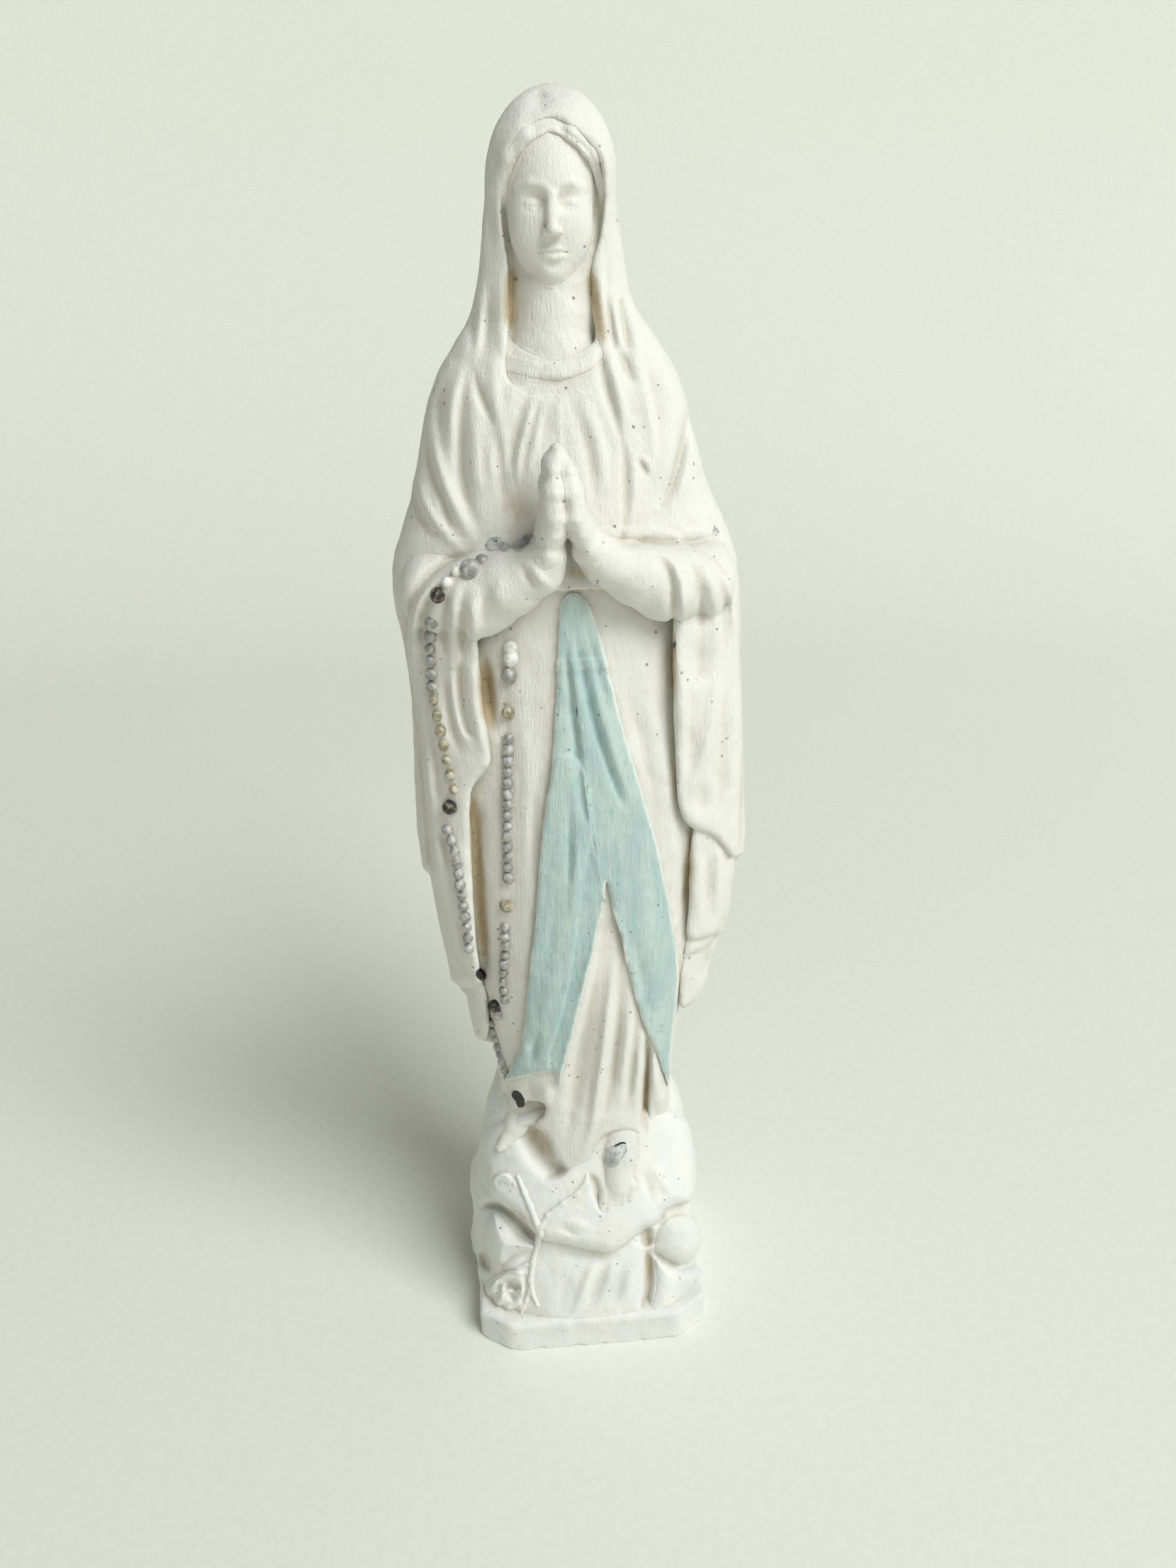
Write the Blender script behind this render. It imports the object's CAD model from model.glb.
"""A cast plaster Madonna statuette. Each piece is sculpted as a signed distance field in
millimetres, meshed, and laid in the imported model's frame."""

import math

import bpy
import numpy as np
import openvdb
from mathutils import Matrix, Vector


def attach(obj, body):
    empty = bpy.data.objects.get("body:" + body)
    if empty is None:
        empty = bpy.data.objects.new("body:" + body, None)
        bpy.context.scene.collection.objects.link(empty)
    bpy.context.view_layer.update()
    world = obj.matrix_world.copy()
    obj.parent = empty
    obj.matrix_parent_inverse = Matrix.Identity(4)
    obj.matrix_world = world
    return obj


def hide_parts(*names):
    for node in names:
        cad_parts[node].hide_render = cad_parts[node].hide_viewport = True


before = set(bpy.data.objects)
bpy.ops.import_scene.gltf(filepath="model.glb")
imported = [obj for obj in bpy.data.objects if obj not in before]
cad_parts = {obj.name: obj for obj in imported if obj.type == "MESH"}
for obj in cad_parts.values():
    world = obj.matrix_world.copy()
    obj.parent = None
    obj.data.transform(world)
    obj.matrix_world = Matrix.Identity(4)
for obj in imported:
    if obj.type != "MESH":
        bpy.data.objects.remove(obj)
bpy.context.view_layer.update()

MM = 0.001
FAR = 10.0                      # the distance given to a point outside a part's own block
RANDOM = np.random.default_rng(7)

# The folds are drawn on upright planes, as they look from a viewpoint in front of the figure
# and at the height of its head, in millimetres.
EYE = (-12.0, -211.5, 228.5)
DRAPERY_PLANE = -16.0
FRONT_PLANE = -18.0             # for the arms, the rock and the roses
HEAD_PLANE = -7.0


# ---------------------------------------------------------------- blocks of sample points

class Block:
    """A lattice of points, whose spacing divides the frame so that neighbours share points."""

    def __init__(self, low, high, step):
        self.step = step
        self.first = [math.floor(v / step) for v in low]
        self.count = [math.ceil(h / step) - f + 1 for h, f in zip(high, self.first)]
        x, y, z = [step * (f + np.arange(n, dtype=np.float32)) for f, n in zip(self.first, self.count)]
        self.x, self.y, self.z = x[:, None, None], y[None, :, None], z[None, None, :]

    def inside(self, low, high):
        """The slices of this block that lie between two corners, and the block they make."""
        cut, sub = [], object.__new__(Block)
        for axis, (f, n) in enumerate(zip(self.first, self.count)):
            a = max(0, math.floor(low[axis] / self.step) - f)
            b = min(n, math.ceil(high[axis] / self.step) - f + 1)
            if b - a < 2:
                return None, None
            cut.append(slice(a, b))
        sub.step, sub.first = self.step, [f + c.start for f, c in zip(self.first, cut)]
        sub.count = [c.stop - c.start for c in cut]
        sub.x, sub.y, sub.z = self.x[cut[0]], self.y[:, cut[1]], self.z[:, :, cut[2]]
        return tuple(cut), sub

    def drawn(self, plane):
        """Where each point appears on the upright plane y = plane, seen from EYE."""
        shrink = (plane - EYE[1]) / (self.y - EYE[1])
        return EYE[0] + (self.x - EYE[0]) * shrink, EYE[2] + (self.z - EYE[2]) * shrink


# ---------------------------------------------------------------- curves and drawn reliefs

def smooth_curve(points, closed=False, pieces=5):
    """A Catmull-Rom curve through hand-placed points."""
    p = np.array(points, np.float32)
    if closed:
        p = np.vstack([p[-1], p, p[:2]])
    else:
        p = np.vstack([2 * p[0] - p[1], p, 2 * p[-1] - p[-2]])
    t = np.linspace(0, 1, pieces, endpoint=False, dtype=np.float32)[:, None]
    out = []
    for a, b, c, d in zip(p[:-3], p[1:-2], p[2:-1], p[3:]):
        out.append(0.5 * (2 * b + (c - a) * t + (2 * a - 5 * b + 4 * c - d) * t ** 2
                          + (3 * b - a - 3 * c + d) * t ** 3))
    if not closed:
        out.append(p[-2][None])
    return np.vstack(out)


def nearest(curve, u, v, closed=False):
    """Distance to a curve, the side of it (1 left, -1 right), and the fraction along it."""
    ends = np.vstack([curve[1:], curve[:1]]) if closed else curve[1:]
    starts = curve if closed else curve[:-1]
    lengths = np.linalg.norm(ends - starts, axis=1)
    total, run = max(lengths.sum(), 1e-6), 0.0
    best = np.full(np.broadcast(u, v).shape, 1e9, np.float32)
    side, along = np.ones_like(best), np.zeros_like(best)
    for a, b, length in zip(starts, ends, lengths):
        if length < 1e-6:
            continue
        e = (b - a) / length
        t = np.clip((u - a[0]) * e[0] + (v - a[1]) * e[1], 0, length)
        du, dv = u - a[0] - t * e[0], v - a[1] - t * e[1]
        d2 = du * du + dv * dv
        closer = d2 < best
        best = np.where(closer, d2, best)
        side = np.where(closer, np.sign(e[0] * dv - e[1] * du), side)
        along = np.where(closer, (run + t) / total, along)
        run += length
    return np.sqrt(best), side, along


def within(curve, u, v):
    """True inside a closed curve."""
    inside = np.zeros(np.broadcast(u, v).shape, bool)
    for a, b in zip(curve, np.roll(curve, -1, axis=0)):
        if a[1] == b[1]:
            continue
        crosses = (a[1] > v) != (b[1] > v)
        inside ^= crosses & (u < (b[0] - a[0]) * (v - a[1]) / (b[1] - a[1]) + a[0])
    return inside


def ease(low, high, value):
    """0 at low, 1 at high, smooth between."""
    t = np.clip((value - low) / (high - low), 0, 1)
    return t * t * (3 - 2 * t)


class Relief:
    """A map of heights over part of a drawing plane."""
    STEP = 0.25

    def __init__(self, box, plane=DRAPERY_PLANE):
        self.plane = plane
        self.left, self.bottom = box[0], box[2]
        self.u = np.arange(box[0], box[1], self.STEP, dtype=np.float32)[:, None]
        self.v = np.arange(box[2], box[3], self.STEP, dtype=np.float32)[None, :]
        self.map = np.zeros((self.u.size, self.v.size), np.float32)

    def fold(self, width, height, points, lean=0.0, fade=0.45):
        """Adds a ridge, or a groove where height is negative. lean narrows its left side, and
        fade is the fraction of its length over which each end dies away."""
        curve = smooth_curve(points)
        reach = 2.6 * width * (1 + abs(lean))
        i0, i1 = np.searchsorted(self.u[:, 0], [curve[:, 0].min() - reach, curve[:, 0].max() + reach])
        j0, j1 = np.searchsorted(self.v[0], [curve[:, 1].min() - reach, curve[:, 1].max() + reach])
        d, side, along = nearest(curve, self.u[i0:i1], self.v[:, j0:j1])
        strength = ease(0, fade, along) * ease(0, fade, 1 - along)
        spread = width * (1 - lean * side) * (0.6 + 0.4 * strength)
        self.map[i0:i1, j0:j1] += height * strength * np.exp(-(d / spread) ** 2)

    def folds(self, rows, wider=1.0, higher=1.0):
        """Adds rows of what fold takes, all made wider and higher by a factor."""
        for width, height, *rest in rows:
            self.fold(width * wider, height * higher, *rest)
        return self

    def spots(self, rows):
        """Soft-edged oval patches: middle, half width and half height, and turn in degrees."""
        for u, v, a, b, turn in rows:
            c, s = math.cos(math.radians(turn)), math.sin(math.radians(turn))
            p, q = (self.u - u) * c + (self.v - v) * s, (self.v - v) * c - (self.u - u) * s
            patch = ease(1.4, 0.2, np.sqrt((p / a) ** 2 + (q / b) ** 2))
            self.map = np.maximum(self.map, patch)
        return self

    def outline(self, points):
        """Fills the map with the distance to a smooth outline, positive inside."""
        curve = smooth_curve(points, closed=True, pieces=4)
        d, _, _ = nearest(curve, self.u, self.v, closed=True)
        self.map = np.where(within(curve, self.u, self.v), d, -d).astype(np.float32)
        return self

    def step_up(self, points, height, edge=0.8):
        """Raises the inside of an outline by a height, with a rounded edge."""
        mask = Relief.__new__(Relief)
        mask.u, mask.v = self.u, self.v
        mask.outline(points)
        self.map += height * ease(-edge / 2, edge / 2, mask.map)
        return self

    def at(self, block):
        """The heights where a block's points are drawn."""
        u, v = block.drawn(self.plane)
        i = np.clip((u - self.left) / self.STEP, 0, self.map.shape[0] - 1.001)
        j = np.clip((v - self.bottom) / self.STEP, 0, self.map.shape[1] - 1.001)
        i0, j0 = i.astype(np.int32), j.astype(np.int32)
        a, b = (i - i0).astype(np.float32), (j - j0).astype(np.float32)
        m = self.map
        low = m[i0, j0] * (1 - a) + m[i0 + 1, j0] * a
        high = m[i0, j0 + 1] * (1 - a) + m[i0 + 1, j0 + 1] * a
        return low * (1 - b) + high * b


# ---------------------------------------------------------------- solids

def blend_union(a, b, k):
    """What is in either solid, with the inner corner filled over a reach of k."""
    h = np.clip(k - np.abs(a - b), 0, None) / k
    return np.minimum(a, b) - h * h * k / 4


def blend_cut(a, b, k):
    """What is in both solids, with the edge rounded."""
    return -blend_union(-a, -b, k)


def column(table, index, z):
    """One column of a section table at height z, rounded off over a few millimetres."""
    heights, values = [row[0] for row in table], [row[index] for row in table]
    offsets = (-4.0, -2.0, 0, 2.0, 4.0)
    return sum(np.interp(z + o, heights, values) for o in offsets).astype(np.float32) / len(offsets)


def oval(block, table, power=2.3, crown=None):
    """A body of superellipse sections. table: height, half widths left and right, depths
    front and back. crown: the height where it starts to round over, and how far up it closes."""
    left, right, front, back = [column(table, i, block.z) for i in (1, 2, 3, 4)]
    x, y = block.x, block.y
    across = np.abs(x) / np.where(x < 0, left, right)
    deep = np.abs(y) / np.where(y < 0, front, back)
    q = (across ** power + deep ** power) ** (1 / power)
    r2 = x * x + y * y
    if crown is not None:
        up = np.clip(block.z - crown[0], 0, None)
        q, r2 = np.sqrt(q * q + (up / crown[1]) ** 2), r2 + up * up
    r = np.sqrt(r2) + 0.01
    return r - r / np.maximum(q, 0.02)


def limb(block, balls, k=0.0):
    """A chain of round tapering lengths through balls (x, y, z, radius), which join with a
    softness of k."""
    out = None
    for (ax, ay, az, ar), (bx, by, bz, br) in zip(balls, balls[1:]):
        ex, ey, ez = bx - ax, by - ay, bz - az
        t = ((block.x - ax) * ex + (block.y - ay) * ey + (block.z - az) * ez) / (ex * ex + ey * ey + ez * ez)
        t = np.clip(t, 0, 1)
        d = np.sqrt((block.x - ax - t * ex) ** 2 + (block.y - ay - t * ey) ** 2
                    + (block.z - az - t * ez) ** 2) - (ar + t * (br - ar))
        out = d if out is None else (blend_union(out, d, k) if k else np.minimum(out, d))
    return out


def tilted(block, centre, tilt):
    """The block's points in axes set at centre and tilted about X, in degrees."""
    x, y, z = block.x - centre[0], block.y - centre[1], block.z - centre[2]
    c, s = math.cos(math.radians(tilt)), math.sin(math.radians(tilt))
    return x, c * y + s * z, c * z - s * y


def egg(x, y, z, radii):
    """An ellipsoid about the origin of the given coordinates."""
    a, b, c = radii
    k0 = np.sqrt((x / a) ** 2 + (y / b) ** 2 + (z / c) ** 2) + 1e-4
    k1 = np.sqrt((x / a ** 2) ** 2 + (y / b ** 2) ** 2 + (z / c ** 2) ** 2) + 1e-6
    return k0 * (k0 - 1) / k1


def slab(block, centre, half, rounding):
    """A box with rounded edges."""
    offsets = (block.x - centre[0], block.y - centre[1], block.z - centre[2])
    q = [np.abs(p) - h + rounding for p, h in zip(offsets, half)]
    outside = np.sqrt(sum(np.maximum(p, 0) ** 2 for p in q))
    return outside + np.minimum(np.maximum(np.maximum(q[0], q[1]), q[2]), 0) - rounding


def lumps(block, size, seed):
    """Smooth random heights between -1 and 1, with features of a size in mm."""
    table = np.random.default_rng(seed).uniform(-1, 1, (16, 16, 16)).astype(np.float32)
    cells, weights = [], []
    for axis in (block.x, block.y, block.z):
        at = axis / size + 160.5
        cell = np.floor(at).astype(np.int32)
        t = at - cell
        cells.append(cell)
        weights.append((t * t * (3 - 2 * t)).astype(np.float32))
    (i, j, k), (a, b, c) = cells, weights
    out = 0
    for di, wi in ((0, 1 - a), (1, a)):
        for dj, wj in ((0, 1 - b), (1, b)):
            for dk, wk in ((0, 1 - c), (1, c)):
                out = out + wi * wj * wk * table[(i + di) % 16, (j + dj) % 16, (k + dk) % 16]
    return out


# ---------------------------------------------------------------- sections

# height, half width to the left and to the right, depth to the front and to the back
TUNIC = [
    (30, 15, 15, 14, 12), (45, 17, 18, 16.6, 13), (60, 18.2, 19, 17.6, 14), (80, 20.5, 21.4, 18.5, 15),
    (88, 21.5, 23, 18.7, 15.2), (100, 23.4, 26, 18.8, 15.5), (120, 24.6, 27, 18.6, 16),
    (140, 24, 26, 18, 16),
    (160, 22, 24, 16.8, 15), (172, 18.5, 20.5, 15.5, 14), (180, 17, 17, 15.2, 13),
    (190, 17.5, 17, 15, 12), (200, 17, 16.5, 13.2, 11), (207, 13.5, 13, 10.8, 10),
    (212, 10, 9.5, 8.8, 9), (217, 7, 7, 7, 7)
]
MANTLE = [
    (62, 25, 25, 17.5, 16.5), (75, 26.6, 28.4, 18, 18), (95, 28.6, 33, 18.3, 19.5),
    (110, 30.7, 34, 18.5, 20.5), (120, 31.5, 34.4, 18.5, 21), (132, 31, 33.5, 18.5, 21),
    (148, 30.2, 32.4, 18.3, 21), (160, 30.4, 31.8, 18, 21), (168, 32, 31.4, 17.5, 21),
    (175, 31.8, 31, 16, 20.5), (182, 29, 28, 14.6, 20), (190, 26.3, 24.2, 13.8, 18.5),
    (198, 24.4, 21.9, 12.6, 16.5), (204, 23, 21, 11, 15), (209, 20.6, 18.8, 9.6, 14),
    (213, 17.4, 15.4, 8, 13.2), (217, 14.6, 12.4, 6, 12), (221, 12, 10, 4, 10)
]
VEIL = [
    (202, 17, 15.4, 8, 13.6), (210, 16.8, 15.2, 7.2, 13.4), (214, 15.8, 13.4, 6.6, 13.2),
    (217.5, 14.8, 11.9, 6.4, 13), (221, 13.6, 11.1, 6.4, 12.9), (226, 12.9, 10.5, 6.6, 12.8),
    (231, 12.3, 10.1, 7.4, 12.4), (238, 11.2, 9.3, 9.4, 11.4)
]
MOUND = [
    (6, 26.6, 26, 23, 22.6), (12, 26.6, 25.8, 21.6, 22), (28, 25.8, 24.8, 17.6, 20.5),
    (40, 24.2, 23.6, 16, 18.5), (50, 22, 21.8, 14.2, 16.5), (58, 19.6, 18, 12.6, 15), (66, 15, 14, 10, 12)
]

# ---------------------------------------------------------------- drawings

# the part of a drawing plane that a drawing covers: left, right, bottom and top
WHOLE = (-42, 44, 30, 225)
HEAD_BOX = (-22, 22, 196, 256)
MARKS_BOX = (-44, 46, -6, 256)

# A fold's row is its half width, its height, its points and, where they aren't plain, its lean
# and its fade.

COLLAR = Relief((-26, 24, 196, 252), plane=HEAD_PLANE).folds([
    # the veil's left lappet and the shoulder beside it
    (1.2, 1.0, [(-10, 226), (-9.9, 219), (-10.1, 213), (-10.6, 206)]),
    (0.9, -0.8, [(-11.6, 222), (-12.2, 216), (-13, 210), (-13.4, 206)]),
    (0.9, 0.8, [(-12.4, 224), (-13.2, 218.4), (-14, 214), (-14.8, 208)]),
    (0.8, -0.6, [(-13.8, 219.4), (-14.8, 214.6), (-15.6, 209)]),
    (1.2, 0.7, [(-15, 216), (-15.8, 211), (-16.4, 206)]),
    # the right lappet and its tails
    (1.0, 1.1, [(6, 228), (6.3, 220), (6.8, 213), (7.6, 207)]),
    (0.8, 0.9, [(8, 222), (8.6, 215.6), (9.6, 210.6), (10.8, 206)]),
    (0.6, -1.2, [(7.2, 221), (7.6, 216), (8.3, 212), (9.6, 208)]),
    (0.7, -1.2, [(9.2, 221), (9.9, 215), (10.7, 210.6), (11.9, 206.6)], -0.2),
    (1.2, 0.8, [(11, 218), (12, 212), (13.4, 206)]),
    # the crown of the veil: a dent over the brow, and a soft ridge to the left of it
    (1.4, -0.6, [(-2, 249), (-2.6, 247), (-2.6, 245)]),
    (1.3, 0.5, [(-4.6, 248.4), (-5.8, 245), (-7.8, 241), (-9.4, 236.6)]),
    (1.2, 0.45, [(1.8, 247.6), (5, 245), (7.2, 240.4), (7.9, 234), (7.8, 228)]),
    (0.9, -0.4, [(8.6, 240), (9, 232), (8.8, 225)]),
    (0.9, -0.4, [(-10.6, 236), (-11, 229), (-11.2, 224)]),
    (0.4, 0.4, [(5.8, 228.9), (6.1, 228.5), (6.3, 228.1)]),
    (0.4, 0.5, [(8.9, 219.4), (9.2, 219.2), (9.5, 219)]),
])

CHEST = Relief((-30, 28, 170, 218)).folds([
    # the viewer's left shoulder
    (1.0, 1.2, [(-15.4, 213), (-17.2, 208.5), (-18.4, 204.5), (-18.9, 200), (-19, 194)]),
    (1.1, -1.6, [(-14.8, 213), (-16.3, 208), (-17.2, 203), (-17.6, 197), (-17.4, 191.5), (-16.2, 186.5),
                 (-14.2, 182)]),
    (1.0, -0.6, [(-19.4, 210), (-20.5, 204), (-20.7, 198)]),
    (1.8, 1.0, [(-14.4, 211), (-15.4, 205), (-15.5, 198), (-15.2, 191), (-14.4, 185)]),
    (0.7, -1.1, [(-15.1, 211), (-14.3, 206.8), (-13.2, 203.8), (-11.8, 200.2)]),
    (1.1, 1.0, [(-11.4, 216), (-11.8, 210), (-11.6, 205), (-10.9, 200), (-10.4, 195)]),
    (0.8, -0.7, [(-11.6, 202), (-11.4, 197), (-11.2, 191.5), (-11, 186)]),
    (0.8, 0.45, [(-12.8, 200), (-12.9, 195), (-12.7, 189)]),
    (0.7, -0.35, [(-13.8, 201), (-14.1, 196), (-13.9, 191)]),
    # fanning from the neck to the hands
    (0.9, 0.5, [(-8, 209), (-9.3, 204.6), (-10, 200)]),
    (0.8, -0.9, [(-6, 207.6), (-7.3, 203.4), (-8.6, 199.6), (-9.5, 196.2), (-9.9, 191)]),
    (0.75, 0.85, [(-5.4, 206.4), (-6.6, 202), (-7.8, 198), (-8.6, 194.4), (-8.9, 190)]),
    (0.65, -0.8, [(-4.6, 205.6), (-5.5, 202), (-6.7, 198.6), (-7.6, 195.2), (-8, 192)]),
    (0.75, 0.65, [(-4, 204.4), (-5.3, 199.8), (-6.4, 196.2), (-7.1, 192)]),
    (0.8, -0.25, [(-3, 205), (-3.9, 201), (-4.9, 197.4)]),
    (3.4, -1.5, [(-9.8, 195), (-9.4, 189), (-8.4, 182)]),
    # the right breast
    (1.0, -0.6, [(-0.2, 206), (1.6, 201.4), (2.9, 197), (3.6, 192), (3.8, 186)]),
    (1.2, 0.55, [(1.4, 207), (3.6, 201.6), (4.9, 196.4), (5.5, 189)]),
    (0.9, -0.4, [(3, 207), (5.3, 201), (6.6, 196), (7, 189)]),
    (0.85, -1.4, [(4.9, 215), (5.6, 209), (6.5, 205.2), (7.4, 201.8), (8.4, 197)]),
    (0.8, -0.75, [(7.4, 202), (8.6, 196.8), (9.1, 191.6), (8.9, 186.4), (8.2, 180.6)]),
    (1.1, 0.9, [(6, 215), (7.2, 208), (8.3, 203.6), (9.7, 198.4)]),
    (0.9, 0.5, [(9.4, 199.4), (10.2, 194), (10.3, 188), (9.8, 183)]),
    (0.75, -1.3, [(7.8, 214.6), (9, 210), (10.1, 207.8), (11.4, 206)]),
    (1.1, 0.8, [(10, 214.6), (11.7, 208), (12.9, 203), (13.7, 198), (13.7, 191)]),
    (0.9, -0.6, [(11.8, 213), (13.3, 207), (14.2, 202), (14.8, 196)]),
    (1.3, 0.5, [(14.2, 211), (15.8, 205), (16.4, 199)]),
    (0.45, -0.7, [(10.6, 195.6), (11.8, 194), (13, 191.8)]),
    (0.5, 0.4, [(11.4, 196.2), (12.6, 194.4), (13.5, 192.2)]),
    (0.9, 0.8, [(17.3, 202), (16.6, 196.4), (15.5, 192.2), (13.8, 187.4)]),
    (1.0, -1.6, [(19.1, 204), (18.5, 198.8), (17.7, 194.8), (16.7, 191.2), (15.3, 187.4), (13, 183)]),
    (1.4, 1.0, [(20.4, 201), (19.7, 195.4), (18.4, 190.8), (16.2, 186)]),
    (0.4, 0.6, [(13.9, 187), (14.3, 186.7), (14.7, 186.5)]),
    # over the viewer's left upper arm
    (1.05, 1.4, [(-21.9, 204), (-21.9, 197.4), (-20.9, 192.6), (-19.4, 188.6), (-17.6, 185),
                 (-15.2, 180.6)]),
    (0.8, -1.0, [(-22.9, 202), (-22.8, 196.6), (-22.1, 192.6), (-21, 189.6), (-20.2, 186.8),
                 (-19.8, 183.4)]),
    (0.95, 1.2, [(-24.9, 196), (-24.4, 190.4), (-23, 187), (-21.4, 184.6), (-19.6, 182.4), (-16.8, 180)]),
    (0.5, 0.5, [(-22.8, 191), (-21.7, 188), (-20.6, 184.8)]),
    (0.8, -0.6, [(-26, 193), (-25.2, 187.4), (-23.2, 183)]),
    (0.6, -0.5, [(-22.4, 190), (-21.2, 187.4), (-20.3, 184.4)]),
], 1.15, 0.95)

ARMS = Relief((-36, 38, 155, 210), plane=FRONT_PLANE).folds([
    # the crease above each forearm
    (0.9, -1.6, [(-28.6, 170.5), (-27.6, 173.6), (-25.4, 176.4), (-22.6, 178.8), (-19.4, 180.4),
                 (-14.6, 180.6)]),
    (0.9, -1.0, [(4.4, 182.8), (8, 181.5), (13, 181.9), (18, 181.4), (23, 181.5), (27, 179.6)], 0.0, 0.3),
    # the mantle hung over the right forearm
    (0.8, 1.1, [(-19.6, 179.6), (-23, 177.4), (-25.8, 174), (-27.4, 170), (-28.2, 165), (-28.4, 159)]),
    (0.7, -0.9, [(-19, 179), (-22.4, 176.6), (-24.8, 172.6), (-26, 168), (-26.3, 161)]),
    (0.8, 0.7, [(-18, 178.8), (-21.6, 176.4), (-23.8, 172.8), (-24.8, 168)]),
    (0.8, -0.8, [(-19.4, 176.6), (-21.6, 173.4), (-22.3, 168), (-22.8, 161)]),
    (0.8, 0.8, [(-17.2, 178.4), (-19.4, 176), (-20.7, 172), (-21.2, 166), (-21.6, 160)]),
    (0.8, -1.1, [(-18, 176.4), (-18.9, 173), (-19.3, 167), (-19.8, 160)]),
    (1.0, 1.2, [(-15.8, 176.6), (-17, 173), (-17.3, 168), (-17.4, 162)]),
    (0.9, -0.5, [(-14.6, 175), (-15.4, 171.4), (-15.6, 167.6)]),
    (0.8, 0.7, [(-8, 180.4), (-6.8, 178), (-5, 175.8), (-2.6, 174)]),
    (0.7, -0.6, [(-9, 179.4), (-7.6, 176.4), (-5.8, 174)]),
    (1.0, 0.4, [(-12, 178), (-12.8, 174), (-12.4, 170.4)]),
    # the mantle hung over the left forearm
    (0.8, -1.3, [(10.4, 181), (13.6, 179.6), (15.9, 176.8), (16.7, 173.6), (16.9, 169), (16.9, 163)]),
    (0.9, 1.0, [(13, 181.2), (16.2, 178.8), (17.8, 175.6), (18.4, 171), (18.6, 164)]),
    (0.8, -0.9, [(17, 180.2), (19.8, 177.8), (21.2, 174), (21.7, 169), (21.8, 162)]),
    (0.9, 0.9, [(19, 180.4), (22, 177.6), (23.6, 173.4), (24.2, 168), (24.5, 161)]),
    (0.8, -0.8, [(21.6, 180), (24.4, 177), (25.7, 172.6), (26.1, 167), (26.3, 160)]),
    (0.8, 0.7, [(23.6, 180), (26, 177.2), (27.2, 172.6), (27.9, 166), (28.1, 159)]),
], 1.15)

SKIRT = Relief((-30, 30, 35, 180)).folds([
    (1.6, 0.7, [(-10.5, 168), (-9.6, 150), (-9.4, 130), (-11, 105), (-13.6, 80)]),
    (0.9, -0.7, [(-8.4, 140), (-8.6, 128), (-9.4, 116)]),
    (1.0, -0.6, [(-12.6, 168), (-12.8, 150), (-13.4, 132)]),
    (1.0, -2.0, [(-15.5, 164.5), (-15.6, 158), (-15, 151), (-14.4, 146)]),
    (1.1, -1.1, [(-18.4, 136), (-19.3, 120), (-19.2, 105), (-18.6, 96)], 0.0, 0.15),
    (1.0, -0.5, [(8.5, 160), (11.5, 145), (14.4, 132)]),
    (1.6, 0.7, [(10, 166), (13.4, 150), (16.4, 134), (18.4, 118), (19.4, 102)]),
    (0.8, -0.7, [(19.4, 128), (19.9, 114), (19.6, 102)]),
    # from the parting of the sash to the hem
    (1.2, 1.5, [(4.6, 116), (3, 105), (0.8, 93), (-1.8, 81), (-4.8, 69), (-7.4, 58)], 0.2),
    (1.7, -1.9, [(3.2, 100), (1.4, 90), (-0.4, 79), (-2.2, 68), (-4.2, 57), (-5.2, 49)]),
    (1.1, 1.9, [(6.4, 106), (5.6, 96), (4.6, 86), (3.4, 75), (2, 65), (0.6, 56), (-2.8, 45)], -0.1),
    (0.8, -1.4, [(7.8, 97), (7.2, 88), (6.4, 79), (5.4, 70), (4.2, 62), (2.6, 55)]),
    (1.0, 1.3, [(9.4, 94), (9.1, 85), (8.3, 76), (7.3, 67), (6.2, 58)]),
    (0.7, -1.1, [(10.6, 84), (10, 76), (9.2, 68), (8.2, 60)]),
    (1.0, 1.2, [(11.7, 84), (11.2, 74), (10.5, 65), (9.8, 57)]),
    (0.7, -2.6, [(12.8, 80), (12.6, 70), (12.2, 61), (12.4, 54), (13.2, 49.6)], 0.1, 0.15),
    (1.3, 1.4, [(14, 78), (14.8, 68), (15.8, 60), (17.6, 52)]),
    (0.8, 0.9, [(15.8, 70), (17, 62), (18.6, 53.4)]),
    (1.3, 1.0, [(-8, 70), (-8.8, 64), (-9.2, 60)]),
    (1.4, -0.9, [(-12, 72), (-11.6, 66), (-11.4, 62)]),
    (0.9, 0.9, [(-17, 72), (-18.6, 66), (-20.2, 60), (-21, 55)]),
    (0.8, -0.8, [(-15.6, 70), (-17.4, 64), (-18.6, 59)]),
], 1.1, 0.85)

SASH_OUTLINE = [
    (0.4, 173.2), (1.9, 172.2), (3.2, 169.2), (4.7, 164), (6.4, 156), (8.5, 146.5), (11.5, 135.5),
    (14.2, 125), (16.4, 114), (18, 103.5), (18.9, 94), (18.4, 85), (17.7, 76), (17.3, 66.5),
    (16.2, 69.5), (14.6, 75.4), (11.8, 83), (9.5, 93), (7.6, 103), (5.6, 112), (4.8, 116.6),
    (4.3, 112.5), (2.7, 104), (0.2, 93), (-2, 83.5), (-3.9, 76), (-5.6, 69), (-6.6, 71.8),
    (-8.6, 72), (-12, 71.6), (-16.9, 70.6), (-15, 74.4), (-13, 80), (-11.6, 90), (-10.2, 101),
    (-9, 110), (-7.9, 121), (-6.6, 131), (-5, 140), (-4, 150), (-3.3, 159), (-2.8, 167),
    (-2.4, 171), (-1.2, 172.9)
]
SASH_MASK = Relief((-26, 28, 60, 180)).outline(SASH_OUTLINE)
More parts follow.
